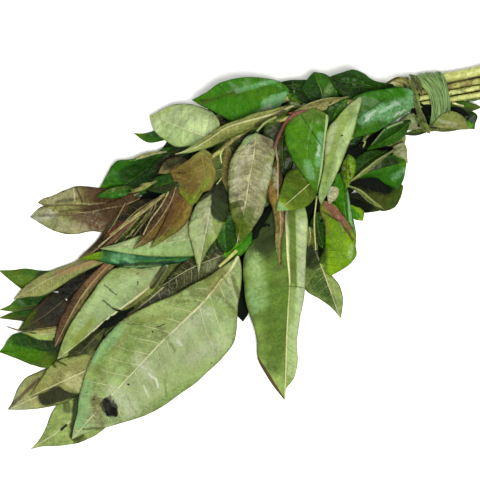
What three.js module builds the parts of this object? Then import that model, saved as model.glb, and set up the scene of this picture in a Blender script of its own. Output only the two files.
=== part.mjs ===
// A market bunch of fresh leafy shoots, tied near the cut stem ends with a strip of leaf and laid on its
// side. Units are millimetres and +Z is up. The layout is drawn with X = 0, Y = 0 under the tie, the cut
// stem ends towards +X, the shoot tips towards -X and the surface at Z = 0. The last lines move the whole
// bunch so that its origin is the bottom centre of its box.
import * as THREE from "three";

// ---- Driving dimensions ----
const LEAF_THICKNESS = 0.9; // a blade with its thick midrib, taken as one even lens
const STALK_HALF_WIDTH = 0.9; // half the width of a leaf stalk
const STALK_END = 0.6; // the blunt end of a stalk, from its cut to its full width
const STALK_LENGTH = 8; // usual length of a leaf stalk
const FOLD_RELIEF = 1.5; // how strongly blades fold along their midribs
const ARCH_RELIEF = 1.2; // how strongly they arch along their length
const WIDEST_AT = 0.44; // where a blade is widest, as a share of its length from the base
const FULLNESS = 0.9; // below 1 rounds the blade out towards both ends
const HALF_COLUMNS = 2; // facets between the midrib and a margin
const ROWS_LONG = 11; // rows of facets along a blade over LONG_BLADE
const ROWS_MEDIUM = 8;
const ROWS_SHORT = 6; // rows along a blade under SHORT_BLADE
const LONG_BLADE = 105;
const SHORT_BLADE = 48;
const ROW_BUNCHING = 0.4; // 0 spaces the rows evenly, 1 gathers them at the base and the tip
const LEAF_SAG = 0.16; // how softly a leaf hangs over what is under it, in mm a facet
const STEM_SAG = 0.05;
const STEM_SIDES = 8;
const STEM_STEP = 15; // distance between the rings of a stem
const STEM_TIP_RADIUS = 1.1;
const STEM_TAPER = 0.7; // below 1 the stem thins soonest near the tie
const GAP = 0.5; // clear height kept between pieces that lie on each other
const CELL = 0.5; // size of a cell in the map of heights
const SETTLING_SWEEPS = 500;
const SMOOTHING_SWEEPS = 6;

const BAND = { width: 14, thickness: 1, bulge: 0.4 };
const BAND_AT_X = 4.9; // the middle of the band, where it crosses the bundle squarely
const BAND_LEAN = { from: -6, curve: 0.02 }; // beyond this Y the band curves away towards the leaves
const STRAND = { width: 4, thickness: 1.2, bulge: 0.2 };
const STRAND_AT_X = -12;
const STRAND_LEAN = 0.4; // how far the strand moves towards the leaves, per mm across the bundle
const EDGE_ROUNDING = 0.04; // how far the outer edges of both are drawn in, as a share of their width
const TIE_HALF_SPAN = 18.6; // half the width of the tied bundle, outside the band
const TIE_HEIGHT = 17.2; // height of the tied bundle, outside the band
const TIE_STEPS = 32;
const TIE_SQUARENESS = 0.65; // 1 makes the loops elliptical, less flattens them round the bundle
const HELD_FROM_X = -30; // the tie holds the stems in place from here to their cut ends
const HELD_AT = [50, 32, 14, 0, -15, -30]; // where a held stem's path is set, along X
const BUNDLE_SLANT = 0.18; // the stems run this much towards +Y for each mm towards +X
const CUT_END_SPREAD = 0.0018; // how the bundle opens towards the cut ends, per mm
const CUT_END_DROP = 0.021; // how the cut ends sink towards the surface, per mm

const TONES = {
  vivid: { color: 0x3c7d1c, roughness: 0.35 },
  dark: { color: 0x24471a, roughness: 0.4 },
  teal: { color: 0x3b6b55, roughness: 0.35 },
  shade: { color: 0x333a28, roughness: 0.6 },
  yellow_green: { color: 0x8aa238, roughness: 0.5 },
  pale: { color: 0xa3b07a, roughness: 0.7 },
  sea_green: { color: 0x93b48b, roughness: 0.6 },
  olive: { color: 0x8b8a48, roughness: 0.65 },
  tan: { color: 0xa89d7a, roughness: 0.7 },
  golden: { color: 0x9a7c3c, roughness: 0.6 },
  brown: { color: 0x70543b, roughness: 0.65 },
  blush: { color: 0xa07560, roughness: 0.65 },
  stem: { color: 0xa9a76c, roughness: 0.6 },
  twig: { color: 0x98a072, roughness: 0.6 },
  band: { color: 0x64824f, roughness: 0.6 },
  strand: { color: 0x86884f, roughness: 0.65 },
};

// ---- The pieces, from the surface upwards ----
// A leaf lies along a spine in plan, from its stalk to its tip. halfWidths are those of the blade seen from
// above, on the left and the right of someone walking from stalk to tip. widest and fullness shape its
// outline, with one value or one for each half. arch is the height of the midrib at the stalk, the middle
// and the tip before the leaf settles on what is under it. fold is how steeply each half rises towards its
// margin, and a minus sign lets it fall.
function leaf(name, tone, spine, halfWidths, shape) {
  return { kind: "leaf", name, tone, spine, halfWidths, ...shape };
}

// A stem leaves the tie at the slot that the bundle gives it and runs along a path to its thin end.
function stem(name, tone, slot, cutEnd, path) {
  return { kind: "stem", name, tone, slot, cutEnd, path };
}

// Where each stem passes through the tie, as its place across the bundle, its height and its radius.
const SLOTS = {
  low_back: { across: 8.8, height: 4.7, radius: 2.8 },
  low_middle: { across: 2.8, height: 4.6, radius: 2.8 },
  low_front: { across: -3.0, height: 4.4, radius: 2.6 },
  high_back: { across: 12.6, height: 10.5, radius: 3.2 },
  high_inner: { across: 6.4, height: 9.7, radius: 2.0 },
  high_middle: { across: 2.2, height: 9.75, radius: 1.8 },
  high_front: { across: -2.0, height: 9.3, radius: 1.8 },
};

const PIECES = [
  // Leaves that lie on the surface and carry the rest.
  leaf("leaf_floor_big", "shade", [[-128, -118], [-160, -148], [-196, -180], [-226, -208]],
    [22, 20], { arch: [2, 2, 0], fold: [0.05, 0.05] }),
  leaf("leaf_floor_gap", "dark", [[-112, -84], [-122, -104], [-126, -126], [-126, -148]],
    [7, 9], { arch: [2, 2, 0], fold: [0.05, 0.05], widest: 0.6, fullness: 0.7 }),
  leaf("leaf_floor_back", "dark", [[-105, -4], [-130, -8], [-160, -22], [-184, -38]],
    [14, 9], { arch: [2, 2, 0], fold: [0.08, 0.04] }),
  leaf("leaf_floor_centre", "shade", [[-84, -26], [-112, -46], [-142, -74], [-172, -98]],
    [22, 20], { arch: [2, 2, 0], fold: [0.06, 0.06] }),
  leaf("leaf_floor_right", "shade", [[-34, -20], [-48, -32], [-61, -52], [-68, -76]],
    [14, 14], { arch: [2, 2, 0], fold: [0.06, 0.06] }),
  leaf("leaf_behind_tie", "dark", [[13.4, -9], [18, -10], [23, -12.6], [29, -19.5]],
    [6, 5.5], { arch: [1, 1, 0], fold: [0.05, 0.05], stalk: 2 }),
  leaf("leaf_shadow_left", "shade", [[-206, -166], [-226, -184], [-240, -195], [-253, -200]],
    [9, 9], { arch: [1, 2, 1], fold: [0.1, 0.1] }),
  leaf("leaf_bright_left", "vivid", [[-236, -168], [-253, -169], [-271, -166], [-289, -168]],
    [9.5, 9.5], { arch: [2, 4, 1], fold: [0.3, 0.2] }),
  leaf("leaf_two_tips_high", "dark", [[-236, -128], [-256, -135], [-273, -137], [-289, -140]],
    [6, 7], { arch: [1, 3, 2], fold: [0.3, 0.2] }),
  leaf("leaf_lime_left", "yellow_green", [[-222, -106], [-246, -117], [-267, -119.5], [-289, -114]],
    [8, 6], { arch: [2, 5, 3], fold: [-0.2, -0.4] }),
  leaf("leaf_olive_corner", "olive", [[-206, -182], [-228, -203], [-246, -218], [-268, -233]],
    [14, 10.5], { arch: [3, 4, 0], fold: [-0.15, -0.25], fullness: [0.9, 1.1] }),
  leaf("leaf_grey_corner", "olive", [[-212, -172], [-240, -186], [-264, -196], [-283, -206.5]],
    [11, 12], { arch: [4, 5, 0], fold: [-0.3, -0.2], widest: [0.5, 0.6] }),
  leaf("leaf_mid_olive", "olive", [[-84, -80], [-78, -99], [-71, -119], [-61, -146]],
    [7, 12.5], { arch: [8, 6, 1], fold: [-0.3, -0.25], widest: [0.5, 0.48] }),
  leaf("leaf_dark_tip", "dark", [[-164, -33], [-178, -27], [-188, -25], [-200, -22]],
    [3.4, 3.2], { arch: [5, 6, 3] }),

  // The lower stems.
  stem("stem_low_back", "stem", "low_back", 78, [
    [-64, -5, 5], [-108, -24, 8], [-150, -50, 10], [-184, -68, 9],
    [-206, -78, 6],
  ]),
  stem("stem_low_middle", "stem", "low_middle", 60, [[-50, -18, 4], [-70, -44, 5], [-88, -68, 6]]),
  stem("stem_low_front", "stem", "low_front", 68, [
    [-42, -22, 4], [-51, -42, 5], [-58, -62, 6], [-64, -84, 5],
  ]),

  // Leaves of the lower shoots.
  leaf("leaf_black_left", "shade", [[-214, -104], [-232, -122], [-252, -139], [-276, -154]],
    [12, 12], { arch: [6, 8, 3], fold: [-0.1, -0.3] }),
  leaf("leaf_dark_back_left", "dark", [[-168, -30], [-184, -42], [-204, -52], [-226, -66]],
    [9, 11], { arch: [8, 9, 3], fold: [0.2, 0.35] }),
  leaf("leaf_olive_left", "olive", [[-206, -166], [-228, -179], [-247, -189], [-268, -197.5]],
    [9, 18], { arch: [6, 8, 2], fold: [-0.5, -0.15] }),
  leaf("leaf_dark_fold", "shade", [[-150, -100], [-170, -115], [-196, -136], [-224, -160]],
    [12, 10], { arch: [8, 9, 5], fold: [0.3, -0.3] }),
  leaf("leaf_tan_crease", "tan", [[-130, -100], [-143, -107], [-160, -116], [-180, -124]],
    [10, 9], { arch: [10, 11, 6], fold: [-0.2, -0.2] }),
  // The upper stems, with more leaves of the lower shoots over them.
  stem("stem_high_middle", "stem", "high_middle", 70, [
    [-56, -16, 14], [-95, -40, 16], [-128, -67, 18], [-168, -100, 17],
    [-200, -128, 13], [-222, -148, 9],
  ]),
  stem("stem_high_front", "stem", "high_front", 62, [
    [-60, -30, 15], [-94, -66, 18], [-116, -92, 18], [-128, -103.5, 16],
  ]),
  stem("stem_high_back", "stem", "high_back", 74, [
    [-52, 3, 15], [-88, 2, 17], [-130, -8, 18], [-160, -22, 15],
  ]),
  leaf("leaf_deep_green", "dark", [[-52, 0], [-68, 4], [-84, 8], [-101, 12]],
    [12, 6.5], { arch: [10, 10, 4], fold: [0.1, 0.3] }),
  leaf("leaf_up_green", "vivid", [[-68, -12], [-72, -3], [-75, 7], [-79, 18]],
    [6, 11], { arch: [10, 10, 5], fold: [0.3, 0.15] }),
  leaf("leaf_deep_green_right", "dark", [[-22, 5], [-38, 7], [-54, 10], [-70, 14]],
    [8, 8.5], { arch: [9, 11, 6], fold: [0.2, 0.3], widest: [0.44, 0.6] }),
  leaf("leaf_hollow_right", "olive", [[-18, -57], [-31, -61], [-44, -59.5], [-58, -57]],
    [10, 9], { arch: [4, 4, 3], fold: [0.3, 0.1], stalk: 2, widest: [0.3, 0.44], fullness: 0.7 }),
  leaf("leaf_vivid_right", "vivid", [[-17, -41], [-28, -46], [-40, -49], [-54, -53]],
    [14, 12], { arch: [12, 12, 4], fold: [-0.35, 0.1], widest: 0.32, stalk: 2 }),
  leaf("leaf_glossy_narrow", "vivid", [[-60, -42], [-58, -60], [-56, -75], [-51, -94]],
    [4.5, 10], { arch: [8, 7, 2], fold: [-0.6, -0.2] }),
  leaf("leaf_lime_curl", "yellow_green", [[-74, -66], [-64, -80], [-60.5, -96], [-68, -117.5]],
    [10, 10], { arch: [9, 8, 2], fold: [-0.4, -0.2], widest: 0.5 }),

  // Leaves of the middle layer.
  leaf("leaf_long_two_tone", "pale", [[-92, -60], [-97, -84], [-96, -123], [-97, -160], [-98.5, -200]],
    [11.5, 29], { arch: [12, 12, 0], fold: [-0.3, -0.12], widest: [0.36, 0.36], fullness: [0.6, 0.7] }),
  leaf("leaf_brown_left_high", "brown", [[-192, -60], [-212, -67], [-236, -70.5], [-263, -68.5]],
    [5, 12], { arch: [10, 10, 4], fold: [-0.3, -0.25], widest: [0.5, 0.64] }),
  leaf("leaf_brown_left_low", "brown", [[-190, -64], [-213, -71], [-238, -76.5], [-268, -78]],
    [12.5, 6], { arch: [11, 11, 3], fold: [-0.25, -0.3], widest: [0.55, 0.5], fullness: 0.75 }),
  leaf("leaf_olive_strip_left", "olive", [[-204, -103], [-232, -110], [-255, -120], [-279, -133]],
    [7.5, 5.5], { arch: [10, 10, 5], fold: [-0.2, -0.5] }),
  leaf("leaf_brown_strip", "brown", [[-204, -101], [-222, -118], [-236, -138], [-251, -165]],
    [4.5, 5], { arch: [10, 10, 5], fold: [-0.5, -0.4] }),
  leaf("leaf_slender_plum", "blush", [[-184, -66], [-202, -81], [-217, -92], [-236, -107]],
    [4.5, 4.5], { arch: [12, 11, 6], fold: [-0.4, -0.4] }),
  leaf("leaf_split_pale", "pale",
    [[-172, -103], [-181, -119], [-194, -132], [-222, -151], [-249.5, -172.5]],
    [3.5, 22], { arch: [12, 12, 4], fold: [-0.9, -0.12], widest: 0.42, fullness: 0.8 }),
  leaf("leaf_teal_roll", "teal", [[-156, -103], [-180, -106], [-206, -106], [-235, -106]],
    [5.5, 5], { arch: [12, 12, 8], fold: [-0.6, 0.1], stalk: 4 }),
  leaf("leaf_sea_green", "sea_green", [[-146, -84], [-168, -93], [-192, -97], [-220, -98.8]],
    [10, 10], { arch: [13, 13, 9], fold: [-0.15, -0.15], stalk: 4 }),
  leaf("leaf_big_pale", "pale",
    [[-129, -103.5], [-140, -122], [-160, -142], [-180, -162], [-210, -194], [-240, -226]],
    [36, 30.5],
    { arch: [16, 16, 3], fold: [-0.12, -0.16], widest: [0.4, 0.48], fullness: [1, 0.85], stalk: 4 }),
  leaf("leaf_blush_narrow", "blush", [[-103, -38], [-106, -58], [-104, -82], [-101, -112]],
    [4, 4.5], { arch: [16, 16, 8], fold: [-0.5, -0.4], widest: 0.34 }),
  leaf("leaf_olive_fold", "olive", [[-72, -48], [-82, -58], [-93, -67], [-104, -74.5]],
    [10, 11], { arch: [16, 16, 10], fold: [-0.2, -0.2] }),
  leaf("leaf_grey_green", "pale", [[-140, -50], [-147, -72], [-151, -90], [-155.5, -115]],
    [12.5, 13], { arch: [17, 17, 12], fold: [-0.2, -0.25] }),
  // The stem that shows on top.
  stem("stem_high_inner", "twig", "high_inner", 66, [
    [-64, -4, 17], [-95, -13, 22], [-121, -19.5, 23], [-145, -38, 23],
    [-170, -57.5, 21], [-192, -74, 17], [-214, -90, 12],
  ]),
  leaf("leaf_glossy_right", "vivid", [[-10.5, 3.5], [-24, 4], [-39, -4], [-51, -15], [-64, -28]],
    [15.5, 8.5],
    { arch: [16, 17, 12], fold: [0.2, 0.12], stalk: 2, widest: [0.34, 0.4], fullness: [0.6, 0.7] }),
  leaf("leaf_dark_right", "dark", [[-14, -13], [-25, -21], [-35, -27], [-45, -34]],
    [5, 6], { arch: [14, 14, 8], fold: [0.5, 0.3], stalk: 3 }),
  leaf("leaf_glossy_fold", "vivid", [[-86, -5], [-82, -18], [-76, -33], [-74, -47], [-76.5, -62]],
    [11, 21], { arch: [18, 20, 14], fold: [0.1, -0.1], stalk: 3, fullness: 0.8 }),
  leaf("leaf_pale_top_left", "pale", [[-133, -34], [-149, -26], [-166, -19], [-188, -11]],
    [14, 17.5], { arch: [17, 17, 8], fold: [-0.15, -0.15], widest: [0.5, 0.46], fullness: [0.8, 0.7] }),
  leaf("leaf_glossy_top", "vivid", [[-89, 4], [-104, 8], [-120, 8], [-136, 4], [-160, 0]],
    [22, 7],
    { arch: [20, 20, 8], fold: [0.05, 0.3], widest: [0.42, 0.6], fullness: [0.62, 0.7], stalk: 3 }),

  leaf("tie_tail", "strand", [[-4, -18], [6, -17.2], [15, -17.2], [24.5, -19.6]],
    [9, 3], { arch: [8, 9, 2], fold: [0.2, -0.4], stalk: 3, widest: 0.5 }),

  // The young leaves at the top, and the leaves that lie over everything else.
  leaf("leaf_young_brown", "brown", [[-170, -58], [-179, -73], [-188, -87], [-199, -99.5]],
    [5, 5], { arch: [20, 19, 12], fold: [-0.35, -0.35] }),
  leaf("leaf_young_golden", "golden", [[-160, -55], [-166, -68], [-174, -83], [-187, -99]],
    [6.5, 5.5], { arch: [21, 20, 13], fold: [-0.3, -0.3] }),
  leaf("leaf_olive_tan", "tan", [[-150, -31], [-152, -43], [-154.5, -56], [-160, -70.5]],
    [10, 18], { arch: [22, 22, 16], fold: [-0.25, -0.2], widest: [0.5, 0.46] }),
  leaf("leaf_tan_centre", "tan", [[-116, -21], [-118, -38], [-121, -54], [-124, -72], [-130, -96]],
    [15, 16], { arch: [22, 23, 15], fold: [-0.2, -0.2], fullness: 0.8, stalk: 4 }),
  leaf("leaf_olive_edge", "olive", [[-90, -2], [-116, -11], [-138, -20.5], [-158, -33], [-171, -37.5]],
    [7, 1.6], { arch: [22, 23, 16], fold: [-0.7, 0.2], stalk: 4 }),
  leaf("leaf_pale_fold", "pale", [[-50, 3], [-57, -12], [-63, -29], [-68, -47], [-74.5, -69.5]],
    [8.5, 9], { arch: [22, 24, 18], fold: [-0.25, -0.15], stalk: 2, fullness: 0.8 }),
];

// ---- The map of heights: the top of everything laid down so far, over the plan of the bunch ----
const MAP = { xMin: -305, yMin: -250, xCells: 800, yCells: 600 };
const topHeight = new Float32Array(MAP.xCells * MAP.yCells).fill(-GAP);

// Calls visit(cell index, height) for every cell whose centre is on, or within a cell of, the triangle.
function visitCells(a, b, c, visit) {
  const area = (b.x - a.x) * (c.y - a.y) - (c.x - a.x) * (b.y - a.y);
  if (Math.abs(area) < 1e-6) return;
  const columnOf = (x) => (x - MAP.xMin) / CELL - 0.5;
  const rowOf = (y) => (y - MAP.yMin) / CELL - 0.5;
  const i0 = Math.floor(columnOf(Math.min(a.x, b.x, c.x))) - 1;
  const i1 = Math.ceil(columnOf(Math.max(a.x, b.x, c.x))) + 1;
  const j0 = Math.floor(rowOf(Math.min(a.y, b.y, c.y))) - 1;
  const j1 = Math.ceil(rowOf(Math.max(a.y, b.y, c.y))) + 1;
  for (let j = j0; j <= j1; j++) {
    for (let i = i0; i <= i1; i++) {
      const x = MAP.xMin + (i + 0.5) * CELL;
      const y = MAP.yMin + (j + 0.5) * CELL;
      let wb = ((x - a.x) * (c.y - a.y) - (c.x - a.x) * (y - a.y)) / area;
      let wc = ((b.x - a.x) * (y - a.y) - (x - a.x) * (b.y - a.y)) / area;
      let wa = 1 - wb - wc;
      if (wa < 0 || wb < 0 || wc < 0) {
        wa = Math.max(wa, 0);
        wb = Math.max(wb, 0);
        wc = Math.max(wc, 0);
        const sum = wa + wb + wc;
        wa /= sum;
        wb /= sum;
        wc /= sum;
        const nearX = wa * a.x + wb * b.x + wc * c.x;
        const nearY = wa * a.y + wb * b.y + wc * c.y;
        if (Math.hypot(nearX - x, nearY - y) > CELL) continue;
      }
      visit(j * MAP.xCells + i, wa * a.z + wb * b.z + wc * c.z);
    }
  }
}

// The highest point within one cell of the given one.
function heightAround(index) {
  let highest = -GAP;
  for (let dj = -1; dj <= 1; dj++) {
    for (let di = -1; di <= 1; di++) {
      highest = Math.max(highest, topHeight[index + dj * MAP.xCells + di]);
    }
  }
  return highest;
}

function facing(a, b, c) {
  return (b.x - a.x) * (c.y - a.y) - (c.x - a.x) * (b.y - a.y);
}

function addToMap(points, faces) {
  for (const [ia, ib, ic] of faces) {
    const [a, b, c] = [points[ia], points[ib], points[ic]];
    if (facing(a, b, c) <= 0) continue;
    visitCells(a, b, c, (index, height) => {
      topHeight[index] = Math.max(topHeight[index], height);
    });
  }
}

// Lays a piece on what is below it. Each point belongs to a hold, and the holds are lifted just enough to
// clear the map, then sag between the places that carry them as far as their neighbours allow.
function settle(body, sag) {
  const { points, faces, holdOf, links, fixed } = body;
  const need = new Array(links.length).fill(-Infinity);
  for (const [ia, ib, ic] of faces) {
    const [a, b, c] = [points[ia], points[ib], points[ic]];
    if (facing(a, b, c) >= 0) continue;
    let most = -Infinity;
    visitCells(a, b, c, (index, height) => {
      most = Math.max(most, heightAround(index) + GAP - height);
    });
    for (const corner of [ia, ib, ic]) {
      need[holdOf[corner]] = Math.max(need[holdOf[corner]], most);
    }
  }
  points.forEach((point, index) => {
    need[holdOf[index]] = Math.max(need[holdOf[index]], -point.z);
  });
  const highest = Math.max(...need.filter((value, hold) => !fixed[hold]));
  const lift = need.map((value, hold) => (fixed[hold] ? 0 : highest));
  const average = (hold) => links[hold].reduce((sum, other) => sum + lift[other], 0) / links[hold].length;
  for (let sweep = 0; sweep < SETTLING_SWEEPS; sweep++) {
    for (let hold = 0; hold < lift.length; hold++) {
      if (!fixed[hold]) lift[hold] = Math.max(need[hold], average(hold) - sag);
    }
  }
  for (let sweep = 0; sweep < SMOOTHING_SWEEPS; sweep++) {
    const evened = lift.map((value, hold) => Math.max(need[hold], (value + average(hold)) / 2));
    const smooth = evened.map((value, hold) => (fixed[hold] ? 0 : value));
    smooth.forEach((value, hold) => {
      lift[hold] = value;
    });
  }
  points.forEach((point, index) => {
    point.z += lift[holdOf[index]];
  });
  addToMap(points, faces);
}

// ---- Bodies made of rings: a blunt or sharp pole at each end and rings of equal size between them ----
// leansBack(side) says on which sides the facets are split along their other diagonal.
function ringBody(startPole, rings, endPole, leansBack) {
  const size = rings[0].length;
  const points = [startPole, ...rings.flat(), endPole];
  const at = (ring, side) => 1 + ring * size + (side % size);
  const faces = [];
  for (let side = 0; side < size; side++) {
    faces.push([0, at(0, side + 1), at(0, side)]);
    faces.push([points.length - 1, at(rings.length - 1, side), at(rings.length - 1, side + 1)]);
    for (let ring = 0; ring + 1 < rings.length; ring++) {
      const [near, nearNext] = [at(ring, side), at(ring, side + 1)];
      const [far, farNext] = [at(ring + 1, side), at(ring + 1, side + 1)];
      faces.push(leansBack(side) ? [near, nearNext, farNext] : [near, nearNext, far]);
      faces.push(leansBack(side) ? [near, farNext, far] : [nearNext, farNext, far]);
    }
  }
  return { points, faces };
}

// How wide a blade is at a share t of its length, as a share of its widest.
function bladeProfile(t, widest, fullness) {
  const stretched = t ** (Math.log(0.5) / Math.log(widest));
  return Math.sin(Math.PI * stretched) ** fullness;
}

// A smooth height through the three values of an arch, at a share s of the way along it.
function archHeight([atBase, atMiddle, atTip], s) {
  return atBase * (1 - s) * (1 - 2 * s) + atMiddle * 4 * s * (1 - s) + atTip * s * (2 * s - 1);
}

function rowsFor(bladeLength) {
  if (bladeLength > LONG_BLADE) return ROWS_LONG;
  return bladeLength < SHORT_BLADE ? ROWS_SHORT : ROWS_MEDIUM;
}

// A value given once stands for both halves of a blade.
function bothHalves(value) {
  return Array.isArray(value) ? value : [value, value];
}

function leafBody(piece) {
  const { arch = [2, 4, 0], fold = [0.2, 0.2], stalk = STALK_LENGTH } = piece;
  const widest = bothHalves(piece.widest ?? WIDEST_AT);
  const fullness = bothHalves(piece.fullness ?? FULLNESS);
  const spinePoints = piece.spine.map(([x, y]) => new THREE.Vector3(x, y, 0));
  const spine = new THREE.CatmullRomCurve3(spinePoints, false, "centripetal");
  const length = spine.getLength();
  const blade = length - stalk;
  const rows = rowsFor(blade);
  const stations = [STALK_END];
  for (let row = 0; row < rows; row++) {
    const even = row / rows;
    const bunched = 0.5 - 0.5 * Math.cos(Math.PI * even);
    stations.push(stalk + blade * THREE.MathUtils.lerp(even, bunched, ROW_BUNCHING));
  }
  const columns = 2 * HALF_COLUMNS;
  const rings = stations.map((distance) => {
    const s = distance / length;
    const centre = spine.getPointAt(s);
    const tangent = spine.getTangentAt(s);
    const t = Math.max(0, (distance - stalk) / blade);
    const profile = [0, 1].map((half) => bladeProfile(t, widest[half], fullness[half]));
    const middle = ARCH_RELIEF * archHeight(arch, s);
    const across = [];
    for (let column = 0; column <= columns; column++) {
      const u = 1 - column / HALF_COLUMNS;
      const half = u > 0 ? 0 : 1;
      const reach = u * Math.max(STALK_HALF_WIDTH, piece.halfWidths[half] * profile[half]);
      const rise = t > 0 ? Math.abs(reach) * fold[half] * FOLD_RELIEF : 0;
      const x = centre.x - tangent.y * reach;
      const y = centre.y + tangent.x * reach;
      across.push(new THREE.Vector3(x, y, middle + rise));
    }
    const lifted = (point, by) => new THREE.Vector3(point.x, point.y, point.z + by);
    const upper = across.slice(1, -1).map((point) => lifted(point, LEAF_THICKNESS / 2));
    const under = across.slice(1, -1).map((point) => lifted(point, -LEAF_THICKNESS / 2)).reverse();
    return [across[0], ...upper, across[columns], ...under];
  });
  const startPole = spine.getPointAt(0).setZ(ARCH_RELIEF * archHeight(arch, 0));
  const endPole = spine.getPointAt(1).setZ(ARCH_RELIEF * archHeight(arch, 1));
  // The two skins are split alike, so that they stay parallel where a blade twists.
  const body = ringBody(startPole, rings, endPole, (side) => side >= columns);

  const holdAt = (row, column) => 1 + row * (columns + 1) + column;
  const lastHold = 1 + rings.length * (columns + 1);
  const columnOf = (side) => (side <= columns ? side : 2 * columns - side);
  body.holdOf = [0];
  body.links = [[]];
  for (let row = 0; row < rings.length; row++) {
    for (let side = 0; side < 2 * columns; side++) body.holdOf.push(holdAt(row, columnOf(side)));
    for (let column = 0; column <= columns; column++) {
      const nearby = [row === 0 ? 0 : holdAt(row - 1, column)];
      nearby.push(row === rings.length - 1 ? lastHold : holdAt(row + 1, column));
      if (column > 0) nearby.push(holdAt(row, column - 1));
      if (column < columns) nearby.push(holdAt(row, column + 1));
      body.links.push(nearby);
    }
  }
  body.holdOf.push(lastHold);
  for (let column = 0; column <= columns; column++) body.links[0].push(holdAt(0, column));
  body.links.push(body.links[0].map((hold) => hold + (rings.length - 1) * (columns + 1)));
  body.fixed = body.links.map(() => false);
  return body;
}

// A round body of changing radius along a path, as upright rings across it.
function tubeBody(path, radiusAt) {
  const curve = new THREE.CatmullRomCurve3(path, false, "centripetal");
  const count = Math.round(curve.getLength() / STEM_STEP);
  const rings = [];
  for (let ring = 0; ring <= count; ring++) {
    const s = ring / count;
    const centre = curve.getPointAt(s);
    const tangent = curve.getTangentAt(s);
    const flat = Math.hypot(tangent.x, tangent.y);
    const radius = radiusAt(centre);
    const points = [];
    for (let side = 0; side < STEM_SIDES; side++) {
      const angle = (2 * Math.PI * side) / STEM_SIDES;
      const across = (radius * Math.cos(angle)) / flat;
      const up = radius * Math.sin(angle);
      points.push(centre.clone().add(new THREE.Vector3(-tangent.y * across, tangent.x * across, up)));
    }
    rings.push(points);
  }
  const body = ringBody(curve.getPointAt(0), rings, curve.getPointAt(1), () => false);
  const holds = rings.length;
  body.holdOf = [0, ...rings.flatMap((ring, index) => ring.map(() => index)), holds - 1];
  body.links = rings.map((ring, index) => [Math.max(0, index - 1), Math.min(holds - 1, index + 1)]);
  body.fixed = rings.map((ring) => ring[0].x > HELD_FROM_X);
  return body;
}

// The centre of a stem inside the tied bundle, at x along it.
function heldCentre(slot, x) {
  const spread = 1 + CUT_END_SPREAD * Math.max(0, x);
  const drop = CUT_END_DROP * Math.max(0, x);
  return new THREE.Vector3(x, slot.across * spread + BUNDLE_SLANT * x, slot.height - drop);
}

function stemBody(piece) {
  const slot = SLOTS[piece.slot];
  const held = [piece.cutEnd, ...HELD_AT].map((x) => heldCentre(slot, x));
  const free = piece.path.map(([x, y, z]) => new THREE.Vector3(x, y, z));
  const farX = free[free.length - 1].x;
  const radiusAt = (centre) => {
    const along = THREE.MathUtils.clamp((HELD_FROM_X - centre.x) / (HELD_FROM_X - farX), 0, 1);
    return THREE.MathUtils.lerp(slot.radius, STEM_TIP_RADIUS, along ** STEM_TAPER);
  };
  return tubeBody([...held, ...free], radiusAt);
}

// ---- The tie: a wide band round the bundle and a narrow strand beside it, each one closed loop ----
// A loop runs round the bundle's section. shiftAt gives where its middle is along X, for each place across.
function loopBody({ width, thickness, bulge }, shiftAt) {
  const edge = 0.5 - EDGE_ROUNDING;
  const crown = thickness + bulge;
  const section = [[-0.5, 0], [-edge, thickness], [0, crown], [edge, thickness], [0.5, 0], [0, 0]];
  const size = section.length;
  const square = (value) => Math.sign(value) * Math.abs(value) ** TIE_SQUARENESS;
  const points = [];
  for (let step = 0; step < TIE_STEPS; step++) {
    const angle = (2 * Math.PI * step) / TIE_STEPS;
    for (const [along, out] of section) {
      const inset = crown - out;
      const y = square(Math.cos(angle)) * (TIE_HALF_SPAN - inset);
      const z = TIE_HEIGHT / 2 + square(Math.sin(angle)) * (TIE_HEIGHT / 2 - inset);
      const x = shiftAt(y) + along * width;
      points.push(new THREE.Vector3(x, y + BUNDLE_SLANT * x, z));
    }
  }
  const at = (step, side) => (step % TIE_STEPS) * size + (side % size);
  const faces = [];
  for (let step = 0; step < TIE_STEPS; step++) {
    for (let side = 0; side < size; side++) {
      faces.push([at(step, side), at(step + 1, side), at(step, side + 1)]);
      faces.push([at(step, side + 1), at(step + 1, side), at(step + 1, side + 1)]);
    }
  }
  return { points, faces };
}

function bandBody() {
  return loopBody(BAND, (y) => BAND_AT_X - BAND_LEAN.curve * Math.max(0, y - BAND_LEAN.from) ** 2);
}

function strandBody() {
  return loopBody(STRAND, (y) => STRAND_AT_X - STRAND_LEAN * y);
}

// ---- Building ----
const bunch = new THREE.Group();

function place(name, tone, body) {
  const geometry = new THREE.BufferGeometry();
  const positions = body.points.flatMap((point) => [point.x, point.y, point.z]);
  geometry.setAttribute("position", new THREE.Float32BufferAttribute(positions, 3));
  geometry.setIndex(body.faces.flat());
  geometry.computeVertexNormals();
  const mesh = new THREE.Mesh(geometry, new THREE.MeshStandardMaterial({ ...TONES[tone], metalness: 0 }));
  mesh.name = name;
  bunch.add(mesh);
}

const band = bandBody();
const strand = strandBody();
addToMap(band.points, band.faces);
addToMap(strand.points, strand.faces);
place("tie_band", "band", band);
place("tie_strand", "strand", strand);

for (const piece of PIECES) {
  const isLeaf = piece.kind === "leaf";
  const body = isLeaf ? leafBody(piece) : stemBody(piece);
  settle(body, isLeaf ? LEAF_SAG : STEM_SAG);
  place(piece.name, piece.tone, body);
}

const box = new THREE.Box3().setFromObject(bunch);
const centre = box.getCenter(new THREE.Vector3());
bunch.position.set(-centre.x, -centre.y, -box.min.z);

const root = new THREE.Group();
root.add(bunch);
export default root;
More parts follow.
